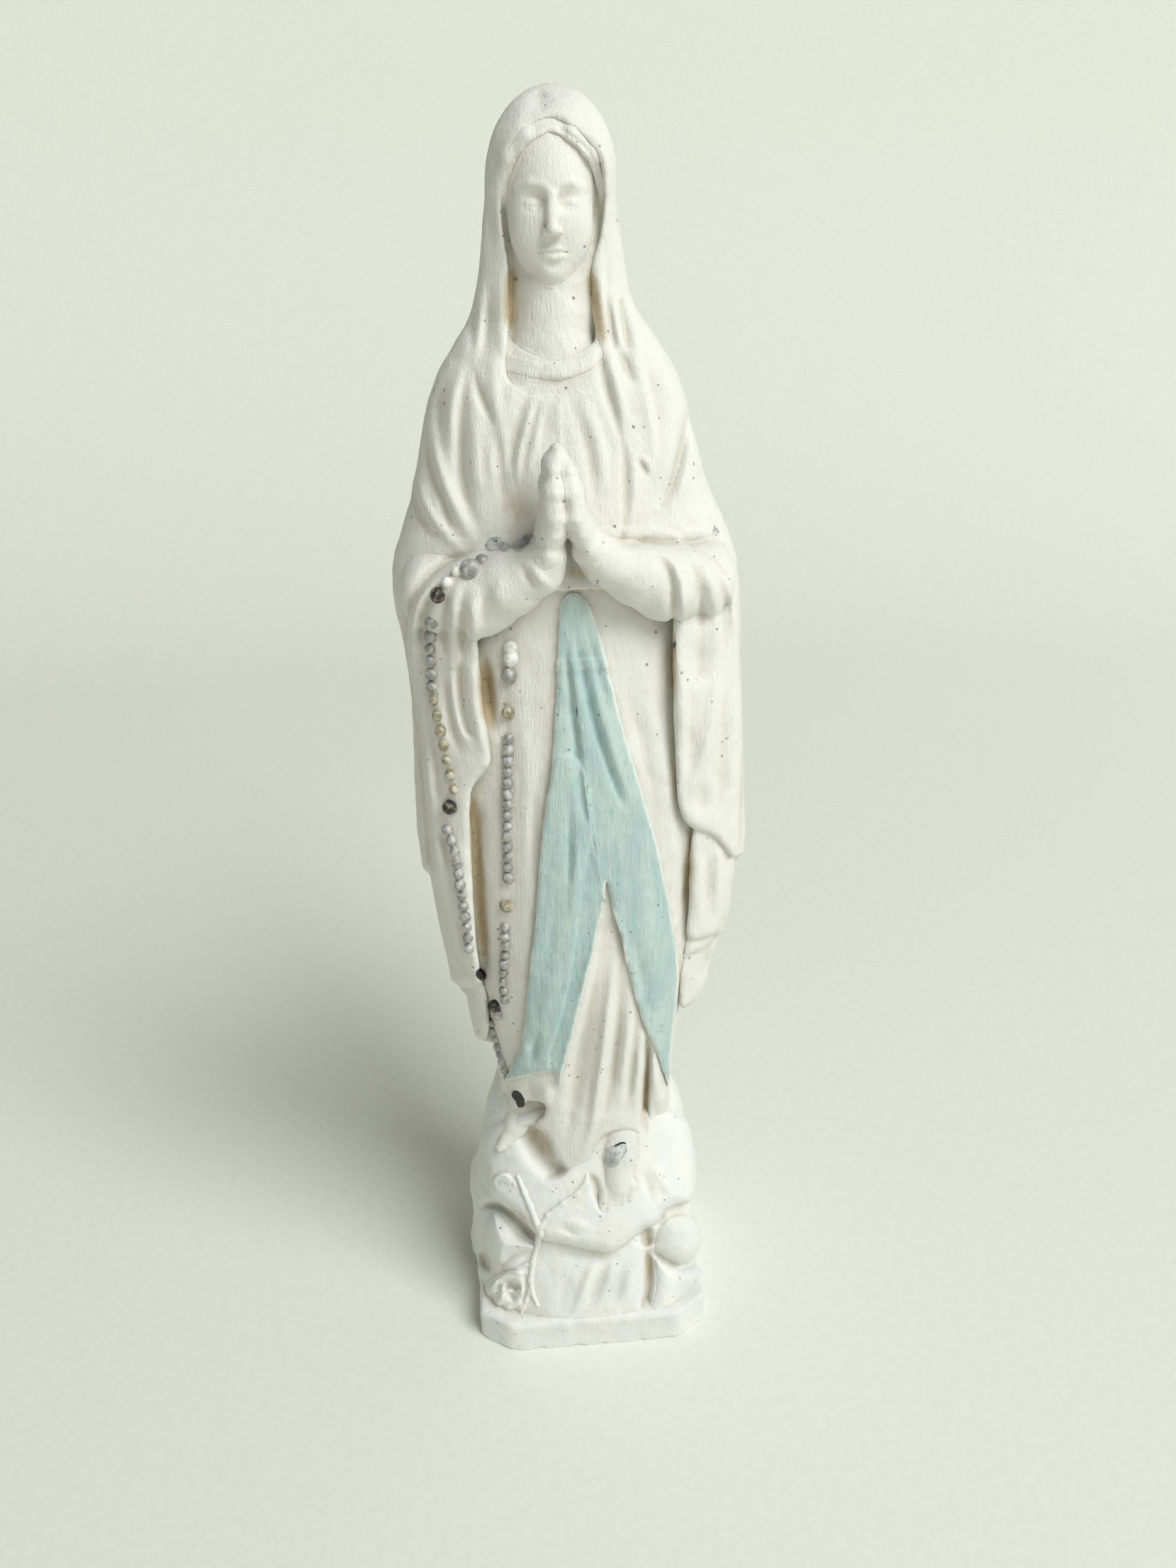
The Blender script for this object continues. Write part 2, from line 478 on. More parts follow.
SASH = Relief((-24, 26, 60, 178)).folds([
    (0.6, -1.0, [(-1.9, 166), (-1.1, 157), (-0.4, 149), (0.2, 140), (0.9, 132), (1.9, 126)], 0.3, 0.2),
    (0.9, 0.8, [(-0.6, 165), (0.4, 156), (1.4, 147), (2.8, 138)]),
    (0.7, -1.1, [(-0.2, 167), (1, 159.5), (2.6, 151), (4.6, 143), (6.8, 136), (9, 130)], -0.3, 0.2),
    (1.0, 0.8, [(1.6, 163), (3.6, 154), (5.6, 146), (8, 138), (10.6, 130)]),
    (0.5, -0.6, [(1.6, 168), (3.3, 162), (4.6, 156), (5.8, 150)]),
    (0.7, -0.8, [(-1.7, 136), (-2, 127), (-2, 119), (-2.6, 112)]),
    (0.9, 0.8, [(-0.4, 128), (-1.2, 118), (-2.2, 107)]),
    (0.9, -0.5, [(-5, 116), (-6.2, 104), (-7.6, 92)]),
    (1.6, 0.5, [(-5.6, 104), (-7.2, 92), (-9.4, 80)]),
    (1.8, 0.6, [(11.4, 118), (13.2, 104), (14.2, 90)]),
    (1.0, -0.5, [(9.8, 104), (11.8, 92), (13.8, 80)]),
    (0.8, -0.7, [(-9.4, 84), (-10.6, 78), (-11.6, 73)]),
    (0.8, 0.6, [(-12, 80), (-13.2, 75)]),
], 1.15, 0.85).step_up([
    (2.2, 129), (1.2, 122), (0.2, 115), (-1, 107), (-2.3, 98), (-3.8, 90), (-5.8, 82), (-7.6, 76.6),
    (-8.8, 70), (-20, 66), (-18, 90), (-12, 120), (-6, 140), (0, 142)
], 0.8)

PANELS = Relief((-42, 44, 60, 190)).folds([
    # the viewer's left
    (1.3, 1.3, [(-17.8, 162), (-18.1, 156), (-17.8, 150), (-16.8, 144)], 0.3, 0.2),
    (0.7, -1.8, [(-20, 163), (-20.5, 156), (-20, 150), (-18.2, 146.4)], -0.2, 0.2),
    (0.8, 1.0, [(-21.4, 163), (-21.8, 157), (-21, 150), (-18.6, 142.6)]),
    (0.7, -0.9, [(-22.8, 163), (-22.8, 156), (-22.2, 149), (-20.6, 142)]),
    (1.4, 0.9, [(-24, 160), (-24.4, 148), (-23.6, 138)]),
    (0.8, 1.0, [(-27, 150), (-27.1, 142), (-27, 131)]),
    (0.8, -0.8, [(-25.8, 150), (-25.9, 141), (-25.6, 132)]),
    (1.2, 0.9, [(-22.8, 132), (-22.8, 120), (-22.2, 108), (-21.6, 100)]),
    (0.8, 1.0, [(-27, 129), (-26.8, 125), (-26.3, 121)]),
    (0.9, -1.1, [(-25.6, 131), (-25.6, 125), (-25.2, 119)]),
    (0.8, -0.9, [(-28.4, 130), (-28.2, 125), (-27.6, 119)]),
    (0.7, -0.6, [(-24.4, 112), (-23.6, 105), (-22.4, 98)]),
    # the viewer's right
    (1.0, 0.9, [(18.4, 164), (19, 152), (19.4, 140)]),
    (1.5, -1.8, [(21.8, 166), (22.2, 160), (22, 153)]),
    (1.2, 1.1, [(24.6, 161), (24.8, 153), (24, 145), (21.8, 138), (19.8, 132)], -0.2),
    (1.4, -1.2, [(22.6, 137), (23, 132), (22.6, 128)]),
    (1.2, -1.1, [(26.6, 156), (26.8, 146), (26.4, 136), (26.2, 126)]),
    (1.2, 0.8, [(28.4, 154), (28.6, 140), (28, 127)]),
    (1.0, -0.9, [(20.8, 150), (20.8, 142), (20.2, 136)]),
    (1.0, -0.9, [(24.4, 124), (24.6, 115), (24.2, 106)]),
    (0.9, 1.0, [(26.2, 124), (26.5, 115), (26.2, 106)]),
    (0.9, 0.8, [(22.6, 124), (22.8, 113), (22.6, 104)]),
    (1.0, -0.8, [(25, 102), (24.4, 97), (22.8, 91)]),
], 1.25, 0.75).step_up([
    (-28.8, 163), (-27.2, 172), (-23.6, 177), (-19, 179.6), (-10, 184), (14, 184), (20, 180),
    (25, 176.4), (27.8, 170), (28.8, 160), (29.8, 146), (29.8, 130), (29.4, 119), (24, 100),
    (0, 96), (-24, 95), (-27, 100), (-28.4, 118), (-28, 128), (-28, 150)
], 1.1, 1.2)

# where the layers of the mantle, the tunic's hem and the openings round the head end
LEFT_OUTER = Relief(WHOLE).outline([
    (-17, 178), (-17.2, 170), (-16.8, 162), (-16.6, 154), (-16.1, 147), (-15.8, 142.8),
    (-17.2, 140.4), (-19.2, 138), (-20.2, 134), (-20.5, 126), (-20.8, 114), (-20.8, 104),
    (-20.5, 99), (-21.2, 97), (-22.8, 98.4), (-24.6, 103), (-26.2, 109), (-27.2, 115),
    (-28.2, 118.8), (-30, 120.6), (-44, 121), (-60, 121), (-60, 200), (-20, 200)
])
LEFT_MIDDLE = Relief(WHOLE).outline([
    (-23.4, 116), (-22.4, 106), (-21, 99), (-20.2, 95.4), (-20.8, 94), (-24.6, 93.8), (-44, 93.6),
    (-60, 93.6), (-60, 130), (-24, 130)
])
LEFT_INNER = Relief(WHOLE).outline([
    (-23.4, 104), (-21, 97), (-19.6, 93), (-19.3, 88), (-19.4, 83.4), (-20.2, 81.3), (-22, 81.4),
    (-44, 82.6), (-60, 82.6), (-60, 108), (-25, 108)
])
RIGHT_OUTER = Relief(WHOLE).outline([
    (17.2, 178), (17.2, 168), (17.2, 158), (17.6, 146), (18, 138), (18.4, 132.6), (19.4, 129),
    (21, 127), (23.4, 125.8), (25.6, 124.6), (27.2, 122.6), (28.6, 120.6), (30.4, 120), (46, 120),
    (60, 120), (60, 200), (20, 200)
])
RIGHT_MIDDLE = Relief(WHOLE).outline([
    (23, 138), (22, 130), (21.1, 125), (20.8, 118), (20.7, 110), (20.5, 104), (21.4, 102),
    (23, 102), (25.4, 102.6), (27.6, 103.6), (29, 106.4), (29.8, 110), (30.6, 116), (46, 124),
    (60, 124), (60, 145), (25, 145)
])
RIGHT_INNER = Relief(WHOLE).outline([
    (23, 116), (21.8, 107), (20.6, 102.6), (19.8, 98), (19.3, 94), (19.2, 89), (19.8, 86),
    (21.4, 86.6), (23.4, 88.2), (25.8, 91), (27.8, 95.4), (28.6, 100), (29.2, 104), (30, 108),
    (46, 116), (60, 116), (60, 120), (25, 120)
])
TUNIC_HEM = Relief(WHOLE).outline([
    (-40, 225), (-40, 64), (-24, 62.6), (-20, 62.2), (-17.4, 62.4), (-15, 63), (-13.4, 63.8),
    (-12.4, 64.8), (-10.6, 64.6), (-9.2, 64), (-8.7, 62.4), (-9.4, 60.4), (-10.8, 59.6), (-11, 58),
    (-9.6, 56.4), (-8.4, 54), (-8, 51.4), (-6.8, 49), (-5.4, 46.4), (-4.6, 43.6), (-4, 42.7),
    (-3, 43.8), (-1.4, 46.2), (0.4, 48.6), (1.8, 51.6), (3, 54), (6, 55.2), (9, 55), (10.8, 53.6),
    (12.2, 51), (13.3, 49.6), (14, 51), (15, 52.8), (16.8, 52.4), (18.7, 52.6), (20, 54), (24, 55),
    (44, 54), (44, 225)
])
VEIL_OPENING = Relief(HEAD_BOX, plane=HEAD_PLANE).outline([
    (-9.4, 207), (-9.2, 213.5), (-8.8, 218), (-8.6, 224), (-9, 229), (-9.2, 234), (-8.6, 238),
    (-7, 241.2), (-4.8, 243.4), (-2.6, 244.6), (-0.4, 244.8), (2.2, 243.6), (4.5, 241.8), (6, 239.8),
    (6.8, 236.6), (6.8, 232), (6.2, 228), (5.2, 225), (4.8, 222), (5, 217.5), (5.6, 213), (6.2, 208),
    (-1.5, 204)
])
HAIRLINE = Relief(HEAD_BOX, plane=HEAD_PLANE).outline([
    (-9, 226), (-8.4, 231), (-7.9, 235.6), (-6.6, 239), (-4.6, 241.3), (-2.4, 242.6), (-0.6, 243),
    (1.2, 242), (3.2, 240.4), (4.9, 238.4), (5.8, 235.4), (5.9, 231), (5.6, 226), (-1.6, 222)
])
STRANDS_DRAWN = Relief(HEAD_BOX, plane=HEAD_PLANE).folds([
    (0.4, -0.5, [(-1.4, 243.8), (0.6, 243), (2.8, 241.5), (4.6, 239.8), (5.9, 236.8),
                 (6.3, 232)], 0.0, 0.25),
    (0.4, 0.25, [(-0.8, 243.2), (1, 242.5), (3, 241), (4.8, 239.2), (5.8, 236.4)]),
    (0.5, -0.2, [(-8.4, 233), (-7.8, 237.6), (-6.2, 240.8), (-4, 242.8)]),
])
NECK_OPENING = Relief((-20, 20, 196, 230), plane=HEAD_PLANE).outline([
    (-9.6, 222), (-9.3, 216), (-9, 214), (-8, 212.6), (-6.5, 211.5), (-4.5, 210.9), (-2, 210.6),
    (1, 210.8), (3.5, 211.6), (5, 212.6), (5.8, 215), (6, 222)
])
COLLAR_BAND = Relief((-20, 20, 196, 222), plane=HEAD_PLANE).outline([
    (-11, 215), (-9.6, 212), (-6.6, 210.6), (-2, 209.8), (2.4, 210.2), (5.2, 211.8), (6.8, 214),
    (7, 211), (5, 208.6), (1, 207.2), (-2.8, 206.9), (-6.6, 207.4), (-10.4, 208.8), (-12, 212)
])

BASE = Relief((-34, 34, 0, 72), plane=FRONT_PLANE).folds([
    # the streaked rock face
    (1.3, 0.9, [(-5, 1), (-3.4, 7), (-1.6, 12.6), (0.2, 18), (1.6, 24)]),
    (1.2, -0.6, [(-2, 3), (0.2, 10), (2.2, 16), (3.8, 22)]),
    (1.1, 0.5, [(0.6, 3), (2.6, 10), (4.2, 16), (5.4, 21)]),
    (1.2, -0.5, [(4, 3), (5.6, 10), (6.8, 16), (7.6, 22)]),
    (1.3, 0.4, [(7.4, 4), (8.4, 12), (9.2, 19)]),
    (1.2, -0.4, [(-8, 5), (-6.4, 12), (-4.6, 18)]),
    (2.2, -0.9, [(-11, 22.5), (-4, 22.8), (2, 21), (8, 22.4)]),
    # the cleft, and the crack under the round stone
    (1.3, -3.2, [(12, 30), (12.2, 26.4), (12.4, 22.6)], 0.0, 0.3),
    (0.95, -2.6, [(12.2, 23), (12.8, 19), (12.9, 14), (12.5, 8.6), (11.4, 2.4)], 0.0, 0.2),
    (0.9, -1.8, [(13, 23), (15, 20.4), (17.4, 18), (20.6, 15.8)], 0.0, 0.3),
    (0.9, -1.0, [(13, 28.6), (15, 30.6), (16.8, 33.4)]),
    # the hollows among the roses and under the ledge
    (1.4, -2.2, [(-25, 38), (-22, 38.8), (-19.4, 38), (-17.2, 35.2), (-14.6, 31.4),
                 (-11.6, 27)], 0.0, 0.25),
    (1.1, -1.8, [(-25, 27), (-24, 23), (-22.4, 18)], 0.0, 0.4),
    (1.0, -1.5, [(-20.6, 16), (-18, 15), (-15.6, 12.4)], 0.0, 0.35),
    (0.9, -1.1, [(-18.6, 13.6), (-18, 9)], 0.0, 0.4),
    (0.9, 1.0, [(-24.6, 10), (-23, 14.6), (-21, 18.6)]),
    (0.9, 0.9, [(-22.6, 6.6), (-21.2, 11), (-20.2, 15)]),
    (1.2, 1.0, [(-20.4, 19), (-17.4, 21.4), (-14.2, 23)]),
    (1.0, 0.8, [(-18.8, 18.2), (-16.4, 18.8), (-14.6, 17)]),
    (0.9, 0.7, [(-16.2, 11), (-16.8, 4.6)]),
    (0.9, 0.6, [(-19.4, 9.4), (-19.4, 4.6)]),
    # between the hem and the feet
    (2.5, -4.6, [(-12.4, 61), (-11.6, 56), (-9.8, 51.6), (-7.6, 48), (-5.8, 45)], 0.0, 0.15),
    (0.8, -1.6, [(-0.4, 46.6), (0.9, 43.4), (1.6, 39.6), (2.7, 35.6), (3.6, 33.4)], 0.0, 0.25),
    (1.3, 0.8, [(-21.6, 57), (-21.8, 50), (-21.4, 43)]),
    (1.2, 0.6, [(13, 48), (15.6, 42.4), (18.8, 37)]),
    (1.0, -0.5, [(11, 47), (12.8, 41), (13.6, 35)]),
    (1.2, 0.4, [(-7, 33), (-2.6, 31.4), (1.4, 29)]),
    (0.9, -0.4, [(-8, 31.4), (-5, 29.6), (-1.6, 27)]),
])


def cushion(box, outline, height, reach):
    """An outline's mask, and heights that swell from its edge like a pillow's."""
    mask = Relief(box, plane=FRONT_PLANE).outline(outline)
    swell = Relief(box, plane=FRONT_PLANE)
    inward = np.clip(mask.map / reach, 0, 1)
    swell.map = (height * inward * (2 - inward)).astype(np.float32)
    return mask, swell


LEDGE, LEDGE_SWELL = cushion((-34, 34, 10, 72), [
    (-21.6, 60), (-21.6, 50), (-21.8, 44.6), (-20.2, 40.4), (-17, 36.6), (-14, 32.6), (-12, 29.4),
    (-10.9, 27.8), (-7.6, 26.6), (-3.6, 25), (0, 23.6), (3.8, 22.3), (5.8, 23.2), (8.4, 25.4),
    (10.6, 27.4), (12.2, 28.8), (14, 29.6), (15.4, 31), (16.2, 33.4), (18.4, 35), (21.6, 35.6),
    (23, 40), (22.6, 50), (20, 60), (0, 66)
], 1.5, 3.0)
BOULDER, BOULDER_SWELL = cushion((-32, -4, 12, 46), [
    (-24, 30), (-23.6, 33.6), (-22, 36.6), (-20.4, 37), (-18.6, 34.8), (-16.8, 31.4), (-14.8, 28.6),
    (-12.7, 26.4), (-12.9, 25), (-14.8, 24.6), (-17.2, 23.4), (-19.4, 21.4), (-20.8, 21),
    (-22.6, 23.2), (-23.8, 26.6)
], 3.0, 5.5)
STONE, STONE_SWELL = cushion((8, 34, 8, 42), [
    (14, 22), (14.2, 26), (15.2, 29.2), (17.2, 31.4), (20, 32.2), (23, 31), (25.6, 28), (26.4, 24),
    (25.6, 20.4), (23.4, 17.8), (20.4, 16.8), (17.4, 18.4), (15.2, 20.2)
], 3.6, 6.0)
BLOCK, BLOCK_SWELL = cushion((6, 40, -4, 30), [
    (14, 18.6), (14.4, 14), (14.2, 9), (13.4, 5), (12.8, 2), (20, 0), (30, 0), (32, 10), (30, 20),
    (24, 17), (20.4, 15.4), (17.4, 17), (15, 19.4)
], 1.9, 4.0)
ROSE_HIGH, ROSE_HIGH_SWELL = cushion((-30, -8, 34, 56), [
    (-21.6, 44), (-21.2, 46.8), (-19.4, 48.4), (-17, 48.2), (-15.6, 46), (-15.6, 43), (-16.8, 40.8),
    (-19.2, 40), (-21, 41.4)
], 1.6, 2.0)
ROSE_LOW, ROSE_LOW_SWELL = cushion((-34, -8, 2, 30), [
    (-24.6, 13), (-23.4, 17), (-21, 18.6), (-18, 19.6), (-15.6, 18.6), (-15, 15), (-15.6, 11), (-17, 7.4),
    (-20, 6.4), (-23, 8.8)
], 1.2, 2.0)
PETALS = Relief((-30, -8, 2, 56), plane=FRONT_PLANE).folds([
    (0.55, -1.3, [(-19.6, 45.6), (-18.8, 44), (-18, 45)], 0.0, 0.3),
    (0.5, 0.9, [(-20.8, 44), (-20.2, 46.6), (-18.6, 47.2), (-17.2, 46)]),
    (0.5, -0.8, [(-20.4, 42.4), (-18.6, 42), (-17.2, 42.8), (-16.8, 45)]),
    (0.6, 0.9, [(-16.2, 46.4), (-16, 44), (-16.8, 41.8)]),
    (0.6, 0.7, [(-19.6, 41.4), (-18.2, 40.8), (-17, 41.4)]),
    (0.55, -1.4, [(-20.4, 13.8), (-18.6, 14.2), (-17, 12.4)], 0.0, 0.3),
    (0.55, 1.0, [(-22.8, 12), (-22, 15.4), (-20, 17.4), (-17.4, 17.2)]),
    (0.55, 0.9, [(-21, 9.6), (-20.2, 12), (-19, 12.4)]),
    (0.55, 0.8, [(-16.2, 15.6), (-16, 12), (-17, 9.4)]),
    (0.5, -0.8, [(-21.4, 11.4), (-21, 14.4), (-19.4, 15.8)]),
])
LEAF, LEAF_SWELL = cushion((-20, 0, 36, 54), [
    (-12.4, 42), (-12.2, 45), (-11, 47.8), (-9.8, 48), (-9, 45.4), (-8.4, 43), (-9.8, 41.4), (-11.6, 41)
], 1.5, 1.6)

# where dirt, lost paint and silver show: strokes on the drapery's plane, 1 at full strength
BROWN = Relief(MARKS_BOX).folds([
    (1.5, 0.9, [(-15.4, 167), (-16, 161), (-15.8, 153), (-15, 144)]),
    (1.2, 0.9, [(-18.6, 141), (-19.4, 132), (-19.4, 120), (-19.4, 108), (-18.8, 95)], 0.0, 0.25),
    (1.1, 0.6, [(20.4, 130), (20.8, 117), (20.2, 102)]),
    (0.9, 0.5, [(19.4, 102), (19.2, 93), (19.4, 84)]),
    (0.9, 0.35, [(-20.4, 172), (-20.6, 160), (-20.2, 150), (-18.6, 144)]),
    (1.0, 0.3, [(-23, 181), (-26, 172), (-26.4, 158)]),
    (1.8, 0.5, [(-4, 176.4), (0, 177), (4.4, 174.6)]),
    (1.0, 0.6, [(17, 170), (17.2, 160), (17.4, 148)]),
    (0.9, 0.6, [(12.6, 78), (12.3, 66), (12.4, 56), (13.4, 48)]),
    (2.2, 0.6, [(-13, 62), (-11.4, 57), (-9, 51.6), (-6, 45.6)]),
    (3.2, 0.5, [(-10, 194), (-9, 188), (-8, 182)]),
    (1.2, 0.3, [(9, 190), (8.8, 184), (8, 180)]),
    (1.4, 0.3, [(3, 183), (10, 181.6), (20, 181.2)]),
    (1.1, 0.8, [(-7.8, 226), (-8.5, 221), (-8.9, 214)], 0.0, 0.3),
    (1.0, 0.8, [(3.8, 226), (4.3, 220.6), (5.2, 215.4), (6.2, 210.6)], 0.0, 0.3),
    (1.5, 0.5, [(13, 31), (13, 18), (12, 2)]),
    (1.5, 0.4, [(-22, 39), (-16, 33), (-11.6, 26)]),
    (1.3, 0.4, [(-25, 28), (-22, 16)]),
])
DARK = Relief(MARKS_BOX).folds([
    (0.9, 0.5, [(16.4, 167), (17.4, 163), (17.8, 158)]),
    (1.0, 0.4, [(21.6, 168), (22.3, 162), (22.4, 155)]),
    (0.4, 0.9, [(4.0, 50.2), (5.6, 51.0), (7.2, 51.8), (8.3, 51.2), (8.4, 50.0)]),
]).spots([
    (-14.6, 66.3, 1.25, 2.1, 24), (-14.0, 64.8, 1.2, 1.9, 0), (-23.1, 173.8, 0.9, 1.3, -20),
    (-23.8, 134, 1.5, 1.2, 0),
    (-20.3, 97, 1.2, 1.8, 10), (-18.2, 89.4, 1.3, 1.8, 0)
])
SILVER = Relief(MARKS_BOX).spots([
    (-13.2, 182.2, 1.8, 1.3, 30), (-11.6, 181.6, 1.3, 1.0, 0), (-8.6, 181.8, 1.9, 1.1, 30),
    (-7.4, 182.8, 1.4, 1.0, 0),
    (5.6, 49.2, 2.6, 2.4, -20), (5.0, 47.2, 2.0, 2.4, 10), (6.8, 49.8, 1.8, 1.8, 0),
    (24.2, 182.8, 0.7, 0.8, 0)
])
BLUISH = Relief(MARKS_BOX).spots([
    (19.6, 24, 3.6, 4.4, 0), (8.4, 50, 2.4, 5.0, 0), (23, 8, 4, 9, 0), (5, 10, 4, 5, 0), (-20, 33, 3, 4, 0)
])


def angular(block, rows):
    """Soft upright folds round the sides and back. rows: angle at the bottom and at the top,
    in degrees from +X, half width in degrees, height, and where the fold fades out above."""
    angle = np.degrees(np.arctan2(block.y, block.x)) % 360
    up = np.clip((block.z - 60) / 150, 0, 1)
    total = np.zeros(np.broadcast(angle, up).shape, np.float32)
    for low, high, width, height, top in rows:
        away = (angle - (low + (high - low) * up) + 180) % 360 - 180
        swing = away + 1.6 * np.sin(block.z * 0.045 + low)
        spread = width * (1.25 - 0.35 * up)
        total += height * ease(top + 12, top - 30, block.z) * np.exp(-(swing / spread) ** 2)
    return total


BACK_FOLDS = [
    (6, 36, 5, -0.8, 190), (17, 48, 6, 0.8, 200), (30, 56, 6, -1.1, 184), (45, 64, 8, 1.0, 205),
    (61, 76, 6, -1.0, 196), (75, 84, 8, 0.8, 182), (92, 93, 6, -1.1, 206), (106, 101, 9, 0.9, 196),
    (122, 112, 6, -0.9, 188), (136, 119, 8, 0.9, 204), (152, 132, 6, -1.0, 192), (166, 144, 6, 0.8, 200),
    (178, 156, 5, -0.7, 186)
]


def drawn_folds(block):
    """The drapery's folds as they lie on the front, fading out round the sides."""
    neckline = ease(209, 214, block.z)
    high = COLLAR.at(block) * neckline + CHEST.at(block) * (1 - neckline) * ease(172, 177, block.z)
    low = PANELS.at(block) * ease(186, 178, block.z) + ARMS.at(block)
    return (high + low) * ease(5, -3, block.y)


def mantle_surface(block):
    """The mantle's outside, with the drawn folds in front and the long folds behind."""
    behind = angular(block, BACK_FOLDS) * ease(-3, 5, block.y)
    return oval(block, MANTLE) - drawn_folds(block) - behind


def tunic_surface(block):
    """The tunic's outside, with the folds drawn for the skirt and the chest in front."""
    neckline = ease(209, 214, block.z)
    high = COLLAR.at(block) * neckline + CHEST.at(block) * (1 - neckline)
    drawn = SKIRT.at(block) * ease(182, 174, block.z) + high * ease(168, 176, block.z)
    return oval(block, TUNIC) - drawn * ease(6, -3, block.y)


def base_surface(block):
    """The rock, with the drawn hollows in front and rougher lumps behind."""
    rough = 1.5 * lumps(block, 11, 21) + 0.8 * np.abs(lumps(block, 6, 22)) + 0.3 * lumps(block, 3, 23)
    front = ease(4, -6, block.y)
    return oval(block, MOUND, power=2.5) - BASE.at(block) * front - rough * (1 - front)


# ---------------------------------------------------------------- parts

PARTS = {}


def part(low, high, step):
    """Registers a solid: the box that holds it and the spacing that it is meshed at."""
    def register(function):
        PARTS[function.__name__] = (low, high, step, function)
        return function
    return register


# heights where pieces end inside their neighbours
ROCK_FOOT, ROCK_TOP = 5, 66
SKIRT_TOP, FALLS_TOP = 178, 182
CHEST_FOOT, BODICE_TOP, SHOULDER_TOP = 174, 214, 219
WAIST_FOOT, TAILS_TOP = 160, 161.5
NECK_FOOT, VEIL_FOOT, HAIR_FOOT = 205, 206, 225


@part((-27, -25, -1), (27, 25, 10), 0.4)
def plinth(b):
    """A slab with four cut corners and a flat underside."""
    box = slab(b, (0, 0, 3.2), (25.8, 23.2, 4.7), 1.2)
    # faces across the corners, 29.8 mm from the middle
    corners = np.abs(b.x) * 0.575 + np.abs(b.y) * 0.818 - 29.8
    return np.maximum(blend_cut(box, corners, 0.8), -b.z)


@part((-29, -26, 3), (29, 26, 70), 0.4)
def rock_mound(b):
    """The whole mound, from inside the plinth to under the hem."""
    return np.maximum(np.maximum(base_surface(b), ROCK_FOOT - b.z), b.z - ROCK_TOP)


def raised(b, mask, height, edge=1.0):
    """A patch that stands out from the rock by a height, within a drawn mask."""
    surface = base_surface(b)
    return np.maximum(blend_cut(surface - height * ease(2, -6, b.y), -mask.at(b), edge), -surface - 2)


@part((-28, -27, 18), (28, 2, 66), 0.3)
def front_ledge(b):
    """The shelf under the feet, whose face leans further out towards its lower edge."""
    slope = 0.2 + 3.4 * ease(50, 28, b.z)
    return raised(b, LEDGE, slope + LEDGE_SWELL.at(b), 1.1)


@part((-29, -26, 14), (-8, 0, 42), 0.25)
def left_boulder(b):
    return raised(b, BOULDER, BOULDER_SWELL.at(b))


@part((10, -26, 0), (29, 4, 24), 0.3)
def right_boulder(b):
    return np.maximum(raised(b, BLOCK, BLOCK_SWELL.at(b)), ROCK_FOOT - b.z)


@part((10, -27, 12), (30, 4, 38), 0.25)
def round_stone(b):
    return raised(b, STONE, STONE_SWELL.at(b))


# each stem's points on the front plane, with its radius there
STEMS = [
    [(-15.4, 46.4, 0.6), (-14.2, 42, 0.6), (-13, 37.6, 0.65), (-11.9, 33, 0.65), (-11.2, 29.4, 0.8)],
    [(-11.2, 31.4, 0.7), (-9.4, 35, 0.6), (-6, 38, 0.6), (-2.8, 40.6, 0.6), (-0.8, 43.4, 0.7),
     (-0.6, 45.4, 0.55)],
    [(-11.2, 30.2, 0.8), (-12, 26.6, 0.65), (-13.2, 21.6, 0.6), (-13.9, 16, 0.6), (-13.6, 11.6, 0.6),
     (-12.7, 8, 0.5)],
    [(-13.9, 14, 0.55), (-15.2, 9.6, 0.5), (-16.4, 6, 0.45)],
    [(-14.2, 21, 0.5), (-16.6, 19.6, 0.45)],
]


class Points:
    """Loose points that parts can be evaluated at, like a block's."""
    drawn = Block.drawn

    def __init__(self, x, y, z):
        self.x, self.y, self.z = [np.asarray(v, np.float32)[:, None, None] for v in (x, y, z)]


def touch(u, v, plane, surfaces):
    """Where the line of sight through (u, v) on a drawing plane meets the nearest surface."""
    y = np.arange(-34, 10, 0.1, dtype=np.float32)
    k = (y - EYE[1]) / (plane - EYE[1])
    line = Points(EYE[0] + (u - EYE[0]) * k, y, EYE[2] + (v - EYE[2]) * k)
    d = np.minimum.reduce([np.broadcast_to(s(line), (y.size, 1, 1)) for s in surfaces])[:, 0, 0]
    hit = int(np.argmax(d < 0)) if d.min() < 0 else int(np.argmin(d))
    return float(line.x[hit, 0, 0]), float(y[hit]), float(line.z[hit, 0, 0])


ROCKS = [rock_mound, front_ledge, left_boulder]
STEM_PATHS = [[(*touch(u, v, FRONT_PLANE, ROCKS), r) for u, v, r in stem] for stem in STEMS]


@part((-22, -27, 3), (4, -8, 50), 0.25)
def rose_stem(b):
    return np.minimum.reduce([limb(b, stem, 0.5) for stem in STEM_PATHS])


@part((-29, -26, 4), (-6, -6, 52), 0.25)
def rose_flowers(b):
    """The upper and the lower rose, and the leaf beside the stems."""
    petals = PETALS.at(b)
    high = raised(b, ROSE_HIGH, ROSE_HIGH_SWELL.at(b) + petals + 1.4, 0.7)
    low = raised(b, ROSE_LOW, ROSE_LOW_SWELL.at(b) + petals, 0.7)
    leaf = raised(b, LEAF, LEAF_SWELL.at(b) + 1.0, 0.7)
    return np.minimum.reduce([high, low, leaf])


TOES = ((4.6, 1.2), (5.0, 0.95), (4.7, 0.9), (4.1, 0.85), (3.3, 0.8))  # length, radius at the tip
TOE_GAP = 1.62


